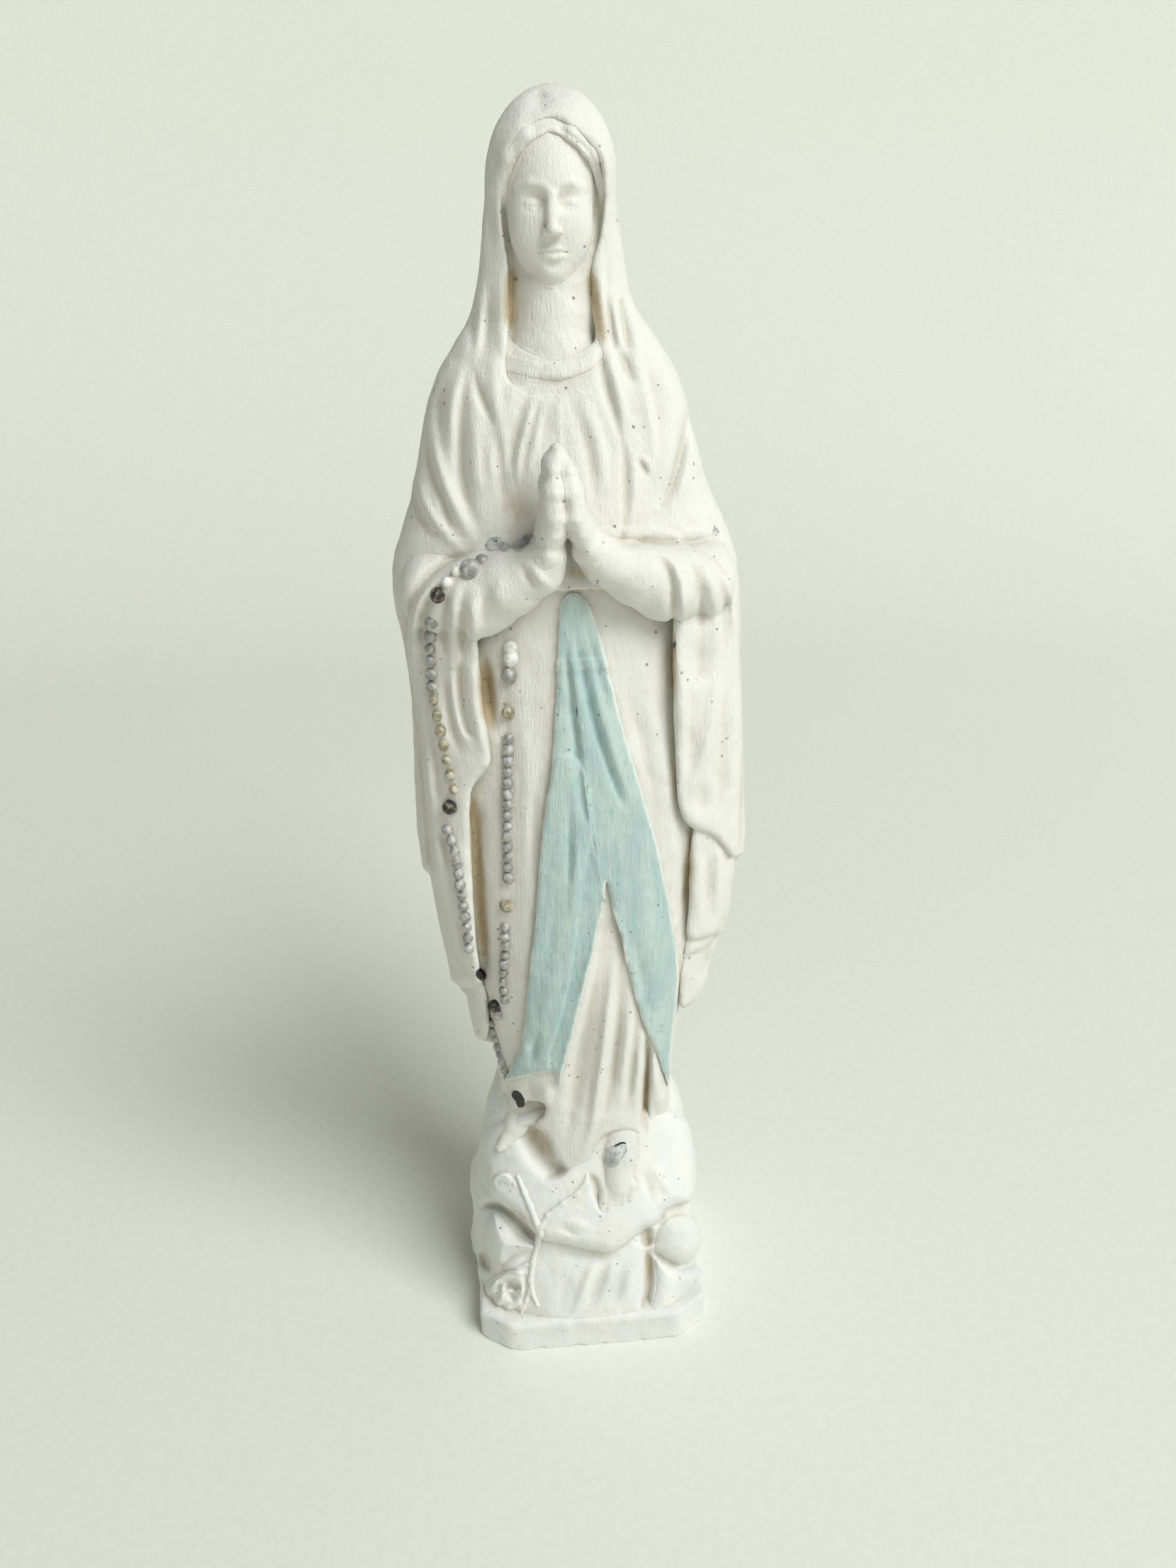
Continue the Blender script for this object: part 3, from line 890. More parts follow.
def foot(b, heel, ball, turn, size, spread=1.0):
    """A bare foot from under the hem: the instep from heel to ball, and five toes."""
    middle = [(h + t) / 2 for h, t in zip(heel, ball)]
    out = limb(b, [(*heel, 4.4 * size), (middle[0], middle[1] - 0.4, middle[2] + 0.6, 4.2 * size),
                   (*ball, 3.7 * size)], 1.0)
    c, s = math.cos(math.radians(turn)), math.sin(math.radians(turn))
    for i, (length, r) in enumerate(TOES):
        across = (i - 2) * TOE_GAP * size * spread
        start = (ball[0] + across * c, ball[1] - 1.7 * size, ball[2] + across * s)
        tip = (start[0] - s * length * size, start[1] - length * 0.28 * size,
               start[2] - length * 0.95 * c * size)
        out = blend_union(out, limb(b, [(*start, 1.3 * size), (*tip, r * size)]), 0.6)
    return out


@part((-6, -27, 28), (16, -5, 62), 0.2)
def right_foot(b):
    return foot(b, (7.2, -11.5, 54), (6.2, -16.2, 41.2), 10, 0.95, 0.95)


@part((-26, -24, 44), (-6, -4, 70), 0.2)
def left_foot(b):
    return foot(b, (-13.4, -4.6, 53.4), (-15.2, -9.7, 53.4), 30, 0.74)


@part((-27, -24, 38), (27, 20, 180), 0.44)
def tunic_skirt(b):
    """The skirt, from the drawn hem up to under the forearms."""
    body = np.maximum(tunic_surface(b), b.z - SKIRT_TOP)
    return blend_cut(body, -TUNIC_HEM.at(b), 1.2)


def outside_neck_hole(b, solid):
    """A solid with the tunic's round neck cut out of it."""
    hole = np.maximum(-NECK_OPENING.at(b), b.y + 1)
    return blend_cut(solid, -hole, 1.0)


@part((-22, -20, 172), (22, 18, 219), 0.3)
def tunic_bodice(b):
    """The chest, under the mantle's outside and round the neck."""
    under = mantle_surface(b) + 0.5 * ease(210, 199, b.z)
    out = np.maximum(np.maximum(np.maximum(tunic_surface(b), under), CHEST_FOOT - b.z), b.z - BODICE_TOP)
    return outside_neck_hole(b, out)


# the mantle's layers: an outline, and how far the layer lies behind the outermost one
LEFT_LAYERS = [(LEFT_OUTER, 0.0), (LEFT_MIDDLE, 1.6), (LEFT_INNER, 3.0)]
RIGHT_LAYERS = [(RIGHT_OUTER, 0.0), (RIGHT_MIDDLE, 1.6), (RIGHT_INNER, 3.2)]
# at the back: the same depth, and the hem's height at the left, the middle and the right
BACK_LAYERS = [(0.0, 112, 76, 110), (1.6, 83, 68, 97), (3.1, 69.5, 64, 86)]
HEM_ROUNDING = 1.6
INTO_TUNIC = 1.5


def over_tunic(b, layers):
    """Layers of the mantle as one solid, that reaches a little way into the tunic."""
    return np.maximum(np.minimum.reduce(layers), -oval(b, TUNIC) - INTO_TUNIC)


def hanging(b, layers):
    """The mantle's layers on one side of the front, down from under the forearm."""
    surface = mantle_surface(b)
    cut = [blend_cut(surface + drop, -outline.at(b), HEM_ROUNDING) for outline, drop in layers]
    return np.maximum(np.maximum(over_tunic(b, cut), b.z - FALLS_TOP), b.y - 2)


@part((-36, -22, 62), (-12, 6, 186), 0.4)
def mantle_left_fall(b):
    return hanging(b, LEFT_LAYERS)


@part((12, -22, 62), (38, 6, 186), 0.4)
def mantle_right_fall(b):
    return hanging(b, RIGHT_LAYERS)


def back_hem(b, left, middle, right):
    """The height of a layer's hem round the back, from where the front's hems leave off."""
    turn = np.clip(b.x / 30, -1, 1)
    side = left + (right - left) * (turn + 1) / 2
    weight = np.abs(turn) ** 1.3
    return side * weight + middle * (1 - weight) + 0.8 * np.sin(b.x * 0.42)


@part((-36, -2, 50), (38, 25, 222), 0.6)
def mantle_back(b):
    surface = mantle_surface(b)
    layers = [blend_cut(surface + drop, back_hem(b, *heights) - b.z, HEM_ROUNDING)
              for drop, *heights in BACK_LAYERS]
    return np.maximum(over_tunic(b, layers), -b.y)


CHEST_MIDDLE = -1.5     # where the two shoulders of the mantle meet


def shoulder(b):
    """The mantle's front from the forearms up to the neck, on both sides."""
    out = np.maximum(np.maximum(mantle_surface(b), CHEST_FOOT - b.z), b.z - SHOULDER_TOP)
    return np.maximum(out, b.y - 2)


def open_neck(b):
    """The room between the veil's edges, which the mantle keeps clear of."""
    return np.maximum(-VEIL_OPENING.at(b), b.y + 3.5)


@part((-34, -20, 172), (-1, 4, 221), 0.3)
def mantle_left_shoulder(b):
    return blend_cut(np.maximum(shoulder(b), b.x - CHEST_MIDDLE), -open_neck(b), 0.7)


@part((-2, -20, 172), (34, 4, 221), 0.3)
def mantle_right_shoulder(b):
    return blend_cut(np.maximum(shoulder(b), CHEST_MIDDLE - b.x), -open_neck(b), 0.7)


def sleeve(b, balls):
    """A forearm's sleeve, with the drawn folds on it."""
    return limb(b, balls, 1.5) - 0.8 * drawn_folds(b)


@part((-32, -28, 160), (0, 2, 190), 0.3)
def left_sleeve(b):
    return sleeve(b, [(-23, -8.5, 172.5, 7.2), (-16, -13.6, 173.2, 6.3), (-10.8, -17, 175.8, 4.7),
                      (-6, -19.6, 178.6, 3.3), (-4.4, -21, 181.6, 2.7)])


@part((-3, -28, 160), (32, 2, 190), 0.3)
def right_sleeve(b):
    return sleeve(b, [(22, -8.5, 173.5, 7.2), (16, -13.8, 174.4, 6.1), (10.4, -17, 177, 4.7),
                      (5.6, -19.6, 179.6, 3.3), (2.4, -21, 182.4, 2.7)])


class Axes:
    """Coordinates of a block's points along other axes."""

    def __init__(self, x, y, z):
        self.x, self.y, self.z = x, y, z


def seen(u, v, y):
    """The place at a depth y that is drawn at (u, v) on the drapery's plane."""
    k = (y - EYE[1]) / (DRAPERY_PLANE - EYE[1])
    return EYE[0] + (u - EYE[0]) * k, y, EYE[2] + (v - EYE[2]) * k


PALM_FLATTENING = 0.46      # a palm's half thickness over its half width from front to back


def hand(b, rows, thumb):
    """One of two joined hands, edge on: rows of where its middle is drawn, its depth and half
    its thickness, and the same for the thumb."""
    flat = Axes(b.x, b.y * PALM_FLATTENING, b.z)
    palm = []
    for u, v, y, r in rows:
        x, _, z = seen(u, v, y)
        palm.append((x, y * PALM_FLATTENING, z, r))
    thumb_balls = [(*seen(u, v, y), r) for u, v, y, r in thumb]
    return blend_union(limb(flat, palm, 1.2), limb(b, thumb_balls, 0.8), 1.0)


@part((-13, -30, 172), (2, -10, 205), 0.2)
def left_hand(b):
    return hand(b, [(-5.8, 178.8, -18, 2.6), (-4.4, 181, -19, 2.6), (-3.5, 184, -20.4, 2.4),
                    (-3.1, 187, -21.6, 2.3), (-3.1, 191, -22, 2.1), (-2.9, 194.8, -22, 1.6),
                    (-2.3, 197.2, -22, 0.95)],
                [(-3.6, 183, -23.6, 1.7), (-3.0, 188.2, -25.2, 1.3), (-2.7, 191.6, -25, 0.9)])


@part((-8, -30, 172), (10, -10, 205), 0.2)
def right_hand(b):
    return hand(b, [(4.4, 179.6, -18, 2.4), (2.8, 181.6, -19, 2.4), (1.3, 184.2, -20.4, 2.2),
                    (0.2, 187, -21.6, 2.1), (-0.1, 190.6, -22, 1.9), (-0.9, 194, -22, 1.5),
                    (-1.8, 196.6, -22, 0.95)],
                [(1.5, 184, -23.4, 1.5), (0.7, 188.4, -24.8, 1.1), (-0.2, 191.6, -24.6, 0.8)])


@part((-13, -12, 204), (11, 12, 232), 0.25)
def neck(b):
    front = limb(b, [(-1.5, -1.6, 206, 7.8), (-1.5, -1.6, 211, 7.2), (-1.4, -1.4, 216, 6.3),
                     (-1.3, -1, 226, 6.0)], 1.0)
    nape = limb(b, [(-1.3, 3.4, 207, 10.4), (-1.0, 3.0, 214, 9.6), (-0.6, 3.0, 228, 9.6)], 1.0)
    return np.maximum(blend_union(front, nape, 0.6), NECK_FOOT - b.z)


HEAD = (-1.5, -1.2, 233.6)      # between the eyes and the ears
HEAD_TILT = 4                   # degrees


def mirrored(x, y, z, centre, radii):
    """The same ellipsoid on both sides of the face."""
    return egg(np.abs(x) - centre[0], y - centre[1], z - centre[2], radii)


def joined(solid, rows):
    """A solid with others blended onto it: rows of a solid and how softly it joins."""
    for other, softness in rows:
        solid = blend_union(solid, other, softness)
    return solid


@part((-12, -14, 218), (9, 11, 249), 0.18)
def head(b):
    """A plain, calm, lowered face, in the head's own axes: +X to the right and -Y forward."""
    x, y, z = tilted(b, HEAD, HEAD_TILT)
    half = Axes(np.abs(x), y, z)
    skull = egg(x, y - 1.0, z - 3.4, (7.5, 9.0, 9.4))
    face = egg(x, y + 1.9, z + 2.4, (6.7, 6.9, 9.6))
    jaw = egg(x, y + 3.2, z + 8.6, (4.2, 4.6, 3.6))
    chin = egg(x, y + 5.9, z + 10.1, (1.9, 1.8, 1.6))
    cheeks = mirrored(x, y, z, (3.3, -5.0, -3.8), (2.8, 2.5, 4.6))
    brows = limb(half, [(1.2, -7.7, 2.5, 0.45), (3.1, -7.4, 2.8, 0.5), (5.1, -5.8, 1.9, 0.4)])
    sockets = mirrored(x, y, z, (3.0, -8.9, 0.5), (2.3, 1.5, 1.5))
    eyeballs = mirrored(x, y, z, (2.9, -6.45, -0.1), (1.75, 1.4, 1.15))
    lids = limb(half, [(1.5, -7.3, -0.5, 0.16), (2.9, -7.85, -0.85, 0.2), (4.4, -6.9, -0.4, 0.14)])
    nose = limb(half, [(0, -8.4, 1.3, 0.7), (0, -9.3, -1.6, 0.8), (0, -10.0, -3.5, 1.0)], 0.5)
    nostrils = mirrored(x, y, z, (0.95, -9.2, -3.9), (0.75, 0.8, 0.6))
    upper_lip = limb(half, [(0, -8.3, -6.45, 0.4), (0.8, -8.25, -6.35, 0.4), (2.3, -7.45, -6.8, 0.25)])
    lower_lip = limb(half, [(0, -8.15, -7.7, 0.5), (1.2, -7.9, -7.5, 0.42), (2.1, -7.4, -7.15, 0.25)])
    mouth = limb(half, [(0, -8.95, -7.0, 0.16), (1.2, -8.55, -6.9, 0.15), (2.3, -7.8, -7.05, 0.12)])
    under_lip = egg(x, y + 9.0, z + 8.9, (1.5, 0.9, 0.5))
    out = joined(skull, [(face, 2.5), (jaw, 2.5), (chin, 1.6), (cheeks, 2.0), (brows, 0.9)])
    out = blend_cut(out, -sockets, 1.2)
    out = joined(out, [(eyeballs, 0.3), (lids, 0.25), (nose, 0.9), (nostrils, 0.4)])
    out = joined(out, [(upper_lip, 0.45), (lower_lip, 0.45)])
    out = blend_cut(out, -mouth, 0.25)
    return blend_cut(out, -under_lip, 0.8)


@part((-13, -14, 222), (10, 8, 250), 0.2)
def hair(b):
    """Parted hair under the veil, from the drawn hairline down both temples."""
    x, y, z = tilted(b, HEAD, HEAD_TILT)
    cap = egg(x, y - 1.0, z - 3.4, (8.2, 9.9, 10.0))
    half = Axes(np.abs(x), y, z)
    temples = limb(half, [(3.4, -5.6, 9.0, 1.2), (5.9, -4.2, 6.2, 1.6), (7.8, -2.2, 1.4, 1.3),
                          (8.3, 0.4, -3.6, 1.2), (8.2, 1.0, -7.0, 1.0)], 1.0)
    cap = blend_union(cap, temples, 1.0) - STRANDS_DRAWN.at(b)
    return np.maximum(blend_cut(cap, HAIRLINE.at(b), 1.0), np.maximum(HAIR_FOOT - b.z, b.y - 3))


@part((-24, -14, 200), (22, 16, 253), 0.3)
def veil(b):
    """A shell over the head, open in front, and deeper where it hangs beside the neck."""
    body = oval(b, VEIL, crown=(237.4, 12.6)) - COLLAR.at(b) * ease(5, -3, b.y) * ease(205, 210, b.z)
    depth = 1.9 + 8 * ease(240, 228, b.z)
    opening = np.maximum(open_neck(b), -body - depth)
    return np.maximum(blend_cut(body, -opening, 0.9), VEIL_FOOT - b.z)


@part((-13, -14, 203), (10, -1, 217), 0.25)
def neckline_band(b):
    surface = tunic_surface(b)
    band = blend_cut(surface - 0.28, -COLLAR_BAND.at(b), 1.2)
    return outside_neck_hole(b, np.maximum(band, -surface - 1.5))


def sash(b):
    """The whole sash, as a band 1.3 mm thick within its outline."""
    surface = tunic_surface(b) - SASH.at(b) * 0.9
    return np.maximum(blend_cut(surface - 1.3, -SASH_MASK.at(b), 0.9), -surface - 1.5)


SPLIT_HEIGHTS = [60, 104, 116, 130, 160]     # where the x of the tails' inner edges is given


@part((-6, -24, 158), (8, -8, 176), 0.3)
def sash_waist(b):
    return np.maximum(sash(b), WAIST_FOOT - b.z)


@part((-22, -26, 60), (8, -6, 164), 0.35)
def sash_left_tail(b):
    split = np.interp(b.z, SPLIT_HEIGHTS, [9, 9, 3.5, 1.9, -0.8])
    return np.maximum(np.maximum(sash(b), b.z - TAILS_TOP), b.x - split)


@part((-4, -26, 60), (24, -6, 164), 0.35)
def sash_right_tail(b):
    split = np.interp(b.z, SPLIT_HEIGHTS, [4, 4, 3.5, 1.9, -0.8])
    return np.maximum(np.maximum(sash(b), b.z - TAILS_TOP), split - b.x)


# ---------------------------------------------------------------- the rosary

def run_of(points, gap):
    """Places (u, v) at even gaps along a curve."""
    curve = smooth_curve(points, pieces=12)
    steps = np.linalg.norm(np.diff(curve, axis=0), axis=1)
    along = np.concatenate([[0], np.cumsum(steps)])
    at = np.linspace(0, along[-1], max(2, round(along[-1] / gap) + 1))
    return [(float(np.interp(t, along, curve[:, 0])), float(np.interp(t, along, curve[:, 1]))) for t in at]


def strung(points, gap, radius, tone):
    """Beads of one kind at even gaps along a curve."""
    return [(place, radius, tone) for place in run_of(points, gap)]


# a bead is its place on the drapery's plane, its radius and its tone, from 0 to 1
SILVER_TONE, GOLD_TONE, WHITE_TONE, BLACK_TONE = 0.1, 0.4, 0.7, 0.95
SIDE_RUN = [
    *strung([(-24.6, 169), (-25.1, 164), (-25.3, 157.6)], 2.1, 1.15, SILVER_TONE),
    *strung([(-25.2, 155), (-24.4, 149), (-23.7, 143), (-22.9, 137.6)], 2.9, 1.0, GOLD_TONE),
    ((-23.8, 134.1), 1.5, BLACK_TONE),
    *strung([(-24.6, 129.4), (-23.4, 124), (-23, 117), (-22.5, 110), (-22.3, 103.4)],
            2.3, 1.1, SILVER_TONE),
    ((-20.3, 97), 1.4, BLACK_TONE),
    ((-15.3, 179.6), 1.2, SILVER_TONE),
    ((-17.4, 178.2), 1.6, SILVER_TONE),
    ((-19.6, 177.8), 0.9, WHITE_TONE),
    ((-23.1, 173.9), 1.3, BLACK_TONE),
    ((-21.4, 176), 0.9, WHITE_TONE),
]
FRONT_RUN = [
    ((-11.3, 164), 1.3, WHITE_TONE),
    ((-11.3, 162), 1.4, WHITE_TONE),
    ((-11.7, 159), 1.3, SILVER_TONE),
    ((-12.2, 152), 1.2, GOLD_TONE),
    ((-14.5, 112.5), 1.35, GOLD_TONE),
    *strung([(-12.4, 147), (-12.9, 140), (-13.4, 132), (-13.7, 125), (-13.9, 118.6)],
            2.15, 1.1, SILVER_TONE),
    *strung([(-15, 107.6), (-15.2, 103), (-15.9, 97), (-16, 91)], 2.2, 1.05, SILVER_TONE),
]
PENDANT_RUN = [
    ((-17.8, 89.4), 1.5, BLACK_TONE),
    ((-17.6, 87.6), 1.3, SILVER_TONE),
    ((-18.6, 85.4), 0.9, SILVER_TONE),
    *strung([(-18.5, 83.4), (-17.8, 79), (-17, 75), (-16.3, 71.8)], 2.1, 1.0, SILVER_TONE),
]
CLOTHES = [tunic_skirt, mantle_left_fall, left_sleeve]


BEAD_SIZES = (0.88, 1.06)       # the least and the most of a bead's own radius that it gets
BEAD_OUT = 0.3                  # how far its centre stands out from the clothes, in radii
TONE_CHANGE = 0.08


def settle(run):
    """Each bead's centre, just outside the clothes, with its uneven radius and tone."""
    placed = []
    for (u, v), radius, tone in run:
        x, y, z = touch(u, v, DRAPERY_PLANE, CLOTHES)
        radius *= RANDOM.uniform(*BEAD_SIZES)
        tone += RANDOM.uniform(-TONE_CHANGE, TONE_CHANGE)
        placed.append((x, y - radius * BEAD_OUT, z, radius, min(1, max(0, tone))))
    return placed


BEAD_REACH = 3      # how far from a bead's centre its field is worked out, in mm


def beads(b, placed):
    """A run of slightly uneven beads, each worked out only near itself."""
    out = np.full(np.broadcast(b.x, b.y, b.z).shape, FAR, np.float32)
    for x, y, z, radius, _ in placed:
        cut, near = b.inside([v - BEAD_REACH for v in (x, y, z)], [v + BEAD_REACH for v in (x, y, z)])
        if cut is None:
            continue
        squash = 1.0 + 0.12 * math.sin(x * 7 + z)
        bead = egg(near.x - x, near.y - y, near.z - z, (radius, radius, radius * squash))
        out[cut] = np.minimum(out[cut], bead)
    return out


def holding(placed):
    """The box round a run of beads."""
    margin = BEAD_REACH + 0.5
    low = [min(p[i] for p in placed) - margin for i in range(3)]
    high = [max(p[i] for p in placed) + margin for i in range(3)]
    return low, high


SIDE_BEADS, FRONT_BEADS, PENDANT_BEADS = settle(SIDE_RUN), settle(FRONT_RUN), settle(PENDANT_RUN)
STRANDS = {
    "rosary_side_strand": SIDE_BEADS,
    "rosary_front_strand": FRONT_BEADS,
    "rosary_pendant": PENDANT_BEADS,
}


@part(*holding(SIDE_BEADS), 0.25)
def rosary_side_strand(b):
    return beads(b, SIDE_BEADS)


@part(*holding(FRONT_BEADS), 0.25)
def rosary_front_strand(b):
    return beads(b, FRONT_BEADS)


@part(*holding(PENDANT_BEADS), 0.25)
def rosary_pendant(b):
    return beads(b, PENDANT_BEADS)


# ---------------------------------------------------------------- meshing

def mesh_of(field, block, name):
    """A Blender mesh of the surface where the field is zero, in metres."""
    grid = openvdb.FloatGrid(3.0)
    grid.copyFromArray(np.ascontiguousarray(np.clip(field, -3, 3), dtype=np.float64), tolerance=0.0)
    points, quads = grid.convertToQuads(isovalue=0.0)
    points = (points + np.array(block.first)) * block.step * MM
    quads = quads[:, ::-1]
    mesh = bpy.data.meshes.new(name)
    mesh.vertices.add(len(points))
    mesh.vertices.foreach_set("co", points.astype(np.float32).ravel())
    mesh.loops.add(quads.size)
    mesh.loops.foreach_set("vertex_index", quads.astype(np.int32).ravel())
    mesh.polygons.add(len(quads))
    mesh.polygons.foreach_set("loop_start", np.arange(0, quads.size, 4, dtype=np.int32))
    mesh.polygons.foreach_set("loop_total", np.full(len(quads), 4, np.int32))
    mesh.update(calc_edges=True)
    mesh.polygons.foreach_set("use_smooth", np.ones(len(quads), bool))
    return mesh


def box_blur(a, radius):
    """The mean over a cube, from running sums along each axis."""
    for axis in range(3):
        n = a.shape[axis]
        pad = [(0, 0)] * 3
        pad[axis] = (radius + 1, radius)
        sums = np.cumsum(np.pad(a, pad, mode="edge"), axis=axis, dtype=np.float64)
        top = np.take(sums, range(2 * radius + 1, n + 2 * radius + 1), axis=axis)
        low = np.take(sums, range(0, n), axis=axis)
        a = ((top - low) / (2 * radius + 1)).astype(np.float32)
    return a


def sample(field, block, points):
    """Field values at points in metres, between the lattice's points."""
    at = points / (MM * block.step) - np.array(block.first)
    at = np.clip(at, 0, np.array(field.shape) - 1.001)
    i = at.astype(int)
    f = at - i
    out = 0
    for dx in (0, 1):
        for dy in (0, 1):
            for dz in (0, 1):
                weight = (np.where(dx, f[:, 0], 1 - f[:, 0]) * np.where(dy, f[:, 1], 1 - f[:, 1])
                          * np.where(dz, f[:, 2], 1 - f[:, 2]))
                out = out + weight * field[i[:, 0] + dx, i[:, 1] + dy, i[:, 2] + dz]
    return out


BLEND = 0.8        # how far the casting softens each inner corner, in mm
FINE_BLEND = 0.35  # the same round the small parts
FINE_PARTS = {"right_foot", "left_foot", "rose_stem", "rose_flowers", *STRANDS}
SMOOTH_PIECES = {"head", *STRANDS}
UNEVENNESS = ((0.13, 2.8, 11), (0.06, 1.1, 12))     # height and size in mm, and a seed
OVERLAP = 2.5      # how far each piece runs on under its neighbours, in mm
RIM = 1.2          # the width of the sash's pale edge, in mm
MARKS = {"brown": BROWN, "dark": DARK, "silver": SILVER, "bluish": BLUISH}
SHADES = {"crease": 0.9, "hollow": 2.4}    # how wide an inner corner each one looks for, in mm


def attribute(mesh, name, values):
    """Stores one number for each vertex, for the paint to read."""
    data = mesh.attributes.new(name, "FLOAT", "POINT").data
    data.foreach_set("value", np.asarray(values, np.float32).ravel())


def casting(name, block):
    """The whole casting's field near one piece, and how far each point lies out of that
    piece's share and in its neighbours'."""
    shape = tuple(block.count)
    mine = np.broadcast_to(PARTS[name][3](block), shape).astype(np.float32)
    whole = mine.copy()
    others = np.full(shape, FAR, np.float32)
    for other, (low, high, _, function) in PARTS.items():
        cut, sub = block.inside(low, high)
        if other == name or cut is None:
            continue
        d = np.broadcast_to(function(sub), tuple(sub.count))
        others[cut] = np.minimum(others[cut], d)
        whole[cut] = blend_union(whole[cut], d, FINE_BLEND if {name, other} & FINE_PARTS else BLEND)
    if name not in SMOOTH_PIECES:
        for height, size, seed in UNEVENNESS:
            whole = whole + height * lumps(block, size, seed)
    return whole, mine - others


def closed_off(field):
    """The field with no solid on the block's own faces, so that the mesh is closed."""
    edge = np.ones(field.shape, bool)
    edge[1:-1, 1:-1, 1:-1] = False
    return np.where(edge, np.maximum(field, 0.5), field)


def mark(mesh, whole, block):
    """Stores where the mesh is hollow, stained, chipped or silvered."""
    points = np.empty(len(mesh.vertices) * 3, np.float32)
    mesh.vertices.foreach_get("co", points)
    points = points.reshape(-1, 3)
    solid = np.clip(whole, -2, 2)
    for label, reach in SHADES.items():
        blurred = box_blur(solid, max(1, round(reach / block.step)))
        attribute(mesh, label, -sample(blurred, block, points) / reach)
    spots = Points(*(points.T / MM))
    in_front = ease(6, 1, spots.y)
    for label, relief in MARKS.items():
        attribute(mesh, label, np.clip(relief.at(spots) * in_front, 0, 1))
    attribute(mesh, "rim", np.clip(1 - SASH_MASK.at(spots) / RIM, 0, 1))


def sculpt(name):
    """One piece of the casting: its own part of the joined surface, running on underneath
    its neighbours, so that no gap shows where pieces meet."""
    low, high, step, _ = PARTS[name]
    block = Block(low, high, step)
    whole, share = casting(name, block)
    dip = np.clip(share, 0, None) + 0.2 * np.clip(share, 0, None) ** 2
    mesh = mesh_of(closed_off(np.maximum(whole + dip, share - OVERLAP)), block, name)
    mark(mesh, whole, block)
    piece = bpy.data.objects.new(name + "_cast", mesh)
    bpy.context.scene.collection.objects.link(piece)
    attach(piece, "root")
    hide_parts(name)
    return piece


# ---------------------------------------------------------------- materials

class Shader:
    """A short way to write a material's nodes."""

    def __init__(self, name):
        self.material = bpy.data.materials.new(name)
        self.material.use_nodes = True
        self.tree = self.material.node_tree
        self.surface = self.tree.nodes["Principled BSDF"]
        self.place = self.node("ShaderNodeTexCoord").outputs["Object"]

    def node(self, kind, **settings):
        made = self.tree.nodes.new(kind)
        for key, value in settings.items():
            setattr(made, key, value)
        return made

    def plug(self, socket, value):
        if isinstance(value, bpy.types.NodeSocket):
            self.tree.links.new(value, socket)
        else:
            socket.default_value = value

    def math(self, operation, *values):
        made = self.node("ShaderNodeMath", operation=operation)
        for socket, value in zip(made.inputs, values):
            self.plug(socket, value)
        return made.outputs[0]

    def times(self, a, b):
        return self.math("MULTIPLY", a, b)

    def add(self, base, value, factor):
        """The base plus a value times a factor."""
        return self.math("MULTIPLY_ADD", value, factor, base)

    def ramp(self, value, low, high):
        """0 at low and 1 at high, smooth between."""
        made = self.node("ShaderNodeMapRange", interpolation_type="SMOOTHSTEP")
        self.plug(made.inputs["Value"], value)
        made.inputs["From Min"].default_value, made.inputs["From Max"].default_value = low, high
        return made.outputs["Result"]

    def scaled(self, x, y, z):
        """The place in cells, from cells per millimetre along each axis."""
        made = self.node("ShaderNodeVectorMath", operation="MULTIPLY")
        self.plug(made.inputs[0], self.place)
        made.inputs[1].default_value = (x / MM, y / MM, z / MM)
        return made.outputs[0]

    def noise(self, x, y, z, detail=3.0, roughness=0.55):
        """Noise with a number of cells per millimetre along each axis."""
        made = self.node("ShaderNodeTexNoise")
        self.plug(made.inputs["Vector"], self.scaled(x, y, z))
        made.inputs["Scale"].default_value = 1.0
        made.inputs["Detail"].default_value = detail
        made.inputs["Roughness"].default_value = roughness
        return made.outputs["Fac"]

    def dots(self, per_mm, share, radius):
        """Scattered round dots: 1 at their middles, in a share of the cells."""
        cells = self.node("ShaderNodeTexVoronoi")
        self.plug(cells.inputs["Vector"], self.scaled(per_mm, per_mm, per_mm))
        cells.inputs["Scale"].default_value = 1.0
        lot = self.node("ShaderNodeSeparateColor")
        self.plug(lot.inputs[0], cells.outputs["Color"])
        chosen = self.math("GREATER_THAN", lot.outputs[0], 1 - share)
        return self.times(self.ramp(cells.outputs["Distance"], radius, radius * 0.45), chosen)

    def vertex(self, name):
        """A number stored for each vertex."""
        return self.node("ShaderNodeAttribute", attribute_name=name).outputs["Fac"]

    def mix(self, factor, a, b):
        made = self.node("ShaderNodeMix", data_type="RGBA")
        self.plug(made.inputs[0], factor)
        for socket, value in ((made.inputs[6], a), (made.inputs[7], b)):
            self.plug(socket, (*value, 1) if isinstance(value, tuple) else value)
        return made.outputs[2]

    def coat(self, colour, mask, strength, over):
        """A colour with another laid over it where a mask is 1, at a strength."""
        return self.mix(self.times(mask, strength), colour, over)

    def finish(self, colour, roughness, height, metallic=0.0, depth=0.0001):
        """Connects the surface. depth is how far a height of 1 stands out, in metres."""
        bump = self.node("ShaderNodeBump")
        bump.inputs["Distance"].default_value = depth
        self.plug(bump.inputs["Height"], height)
        self.plug(self.surface.inputs["Normal"], bump.outputs[0])
        self.plug(self.surface.inputs["Base Color"], colour)
        self.plug(self.surface.inputs["Roughness"], roughness)
        self.plug(self.surface.inputs["Metallic"], metallic)
        return self.material


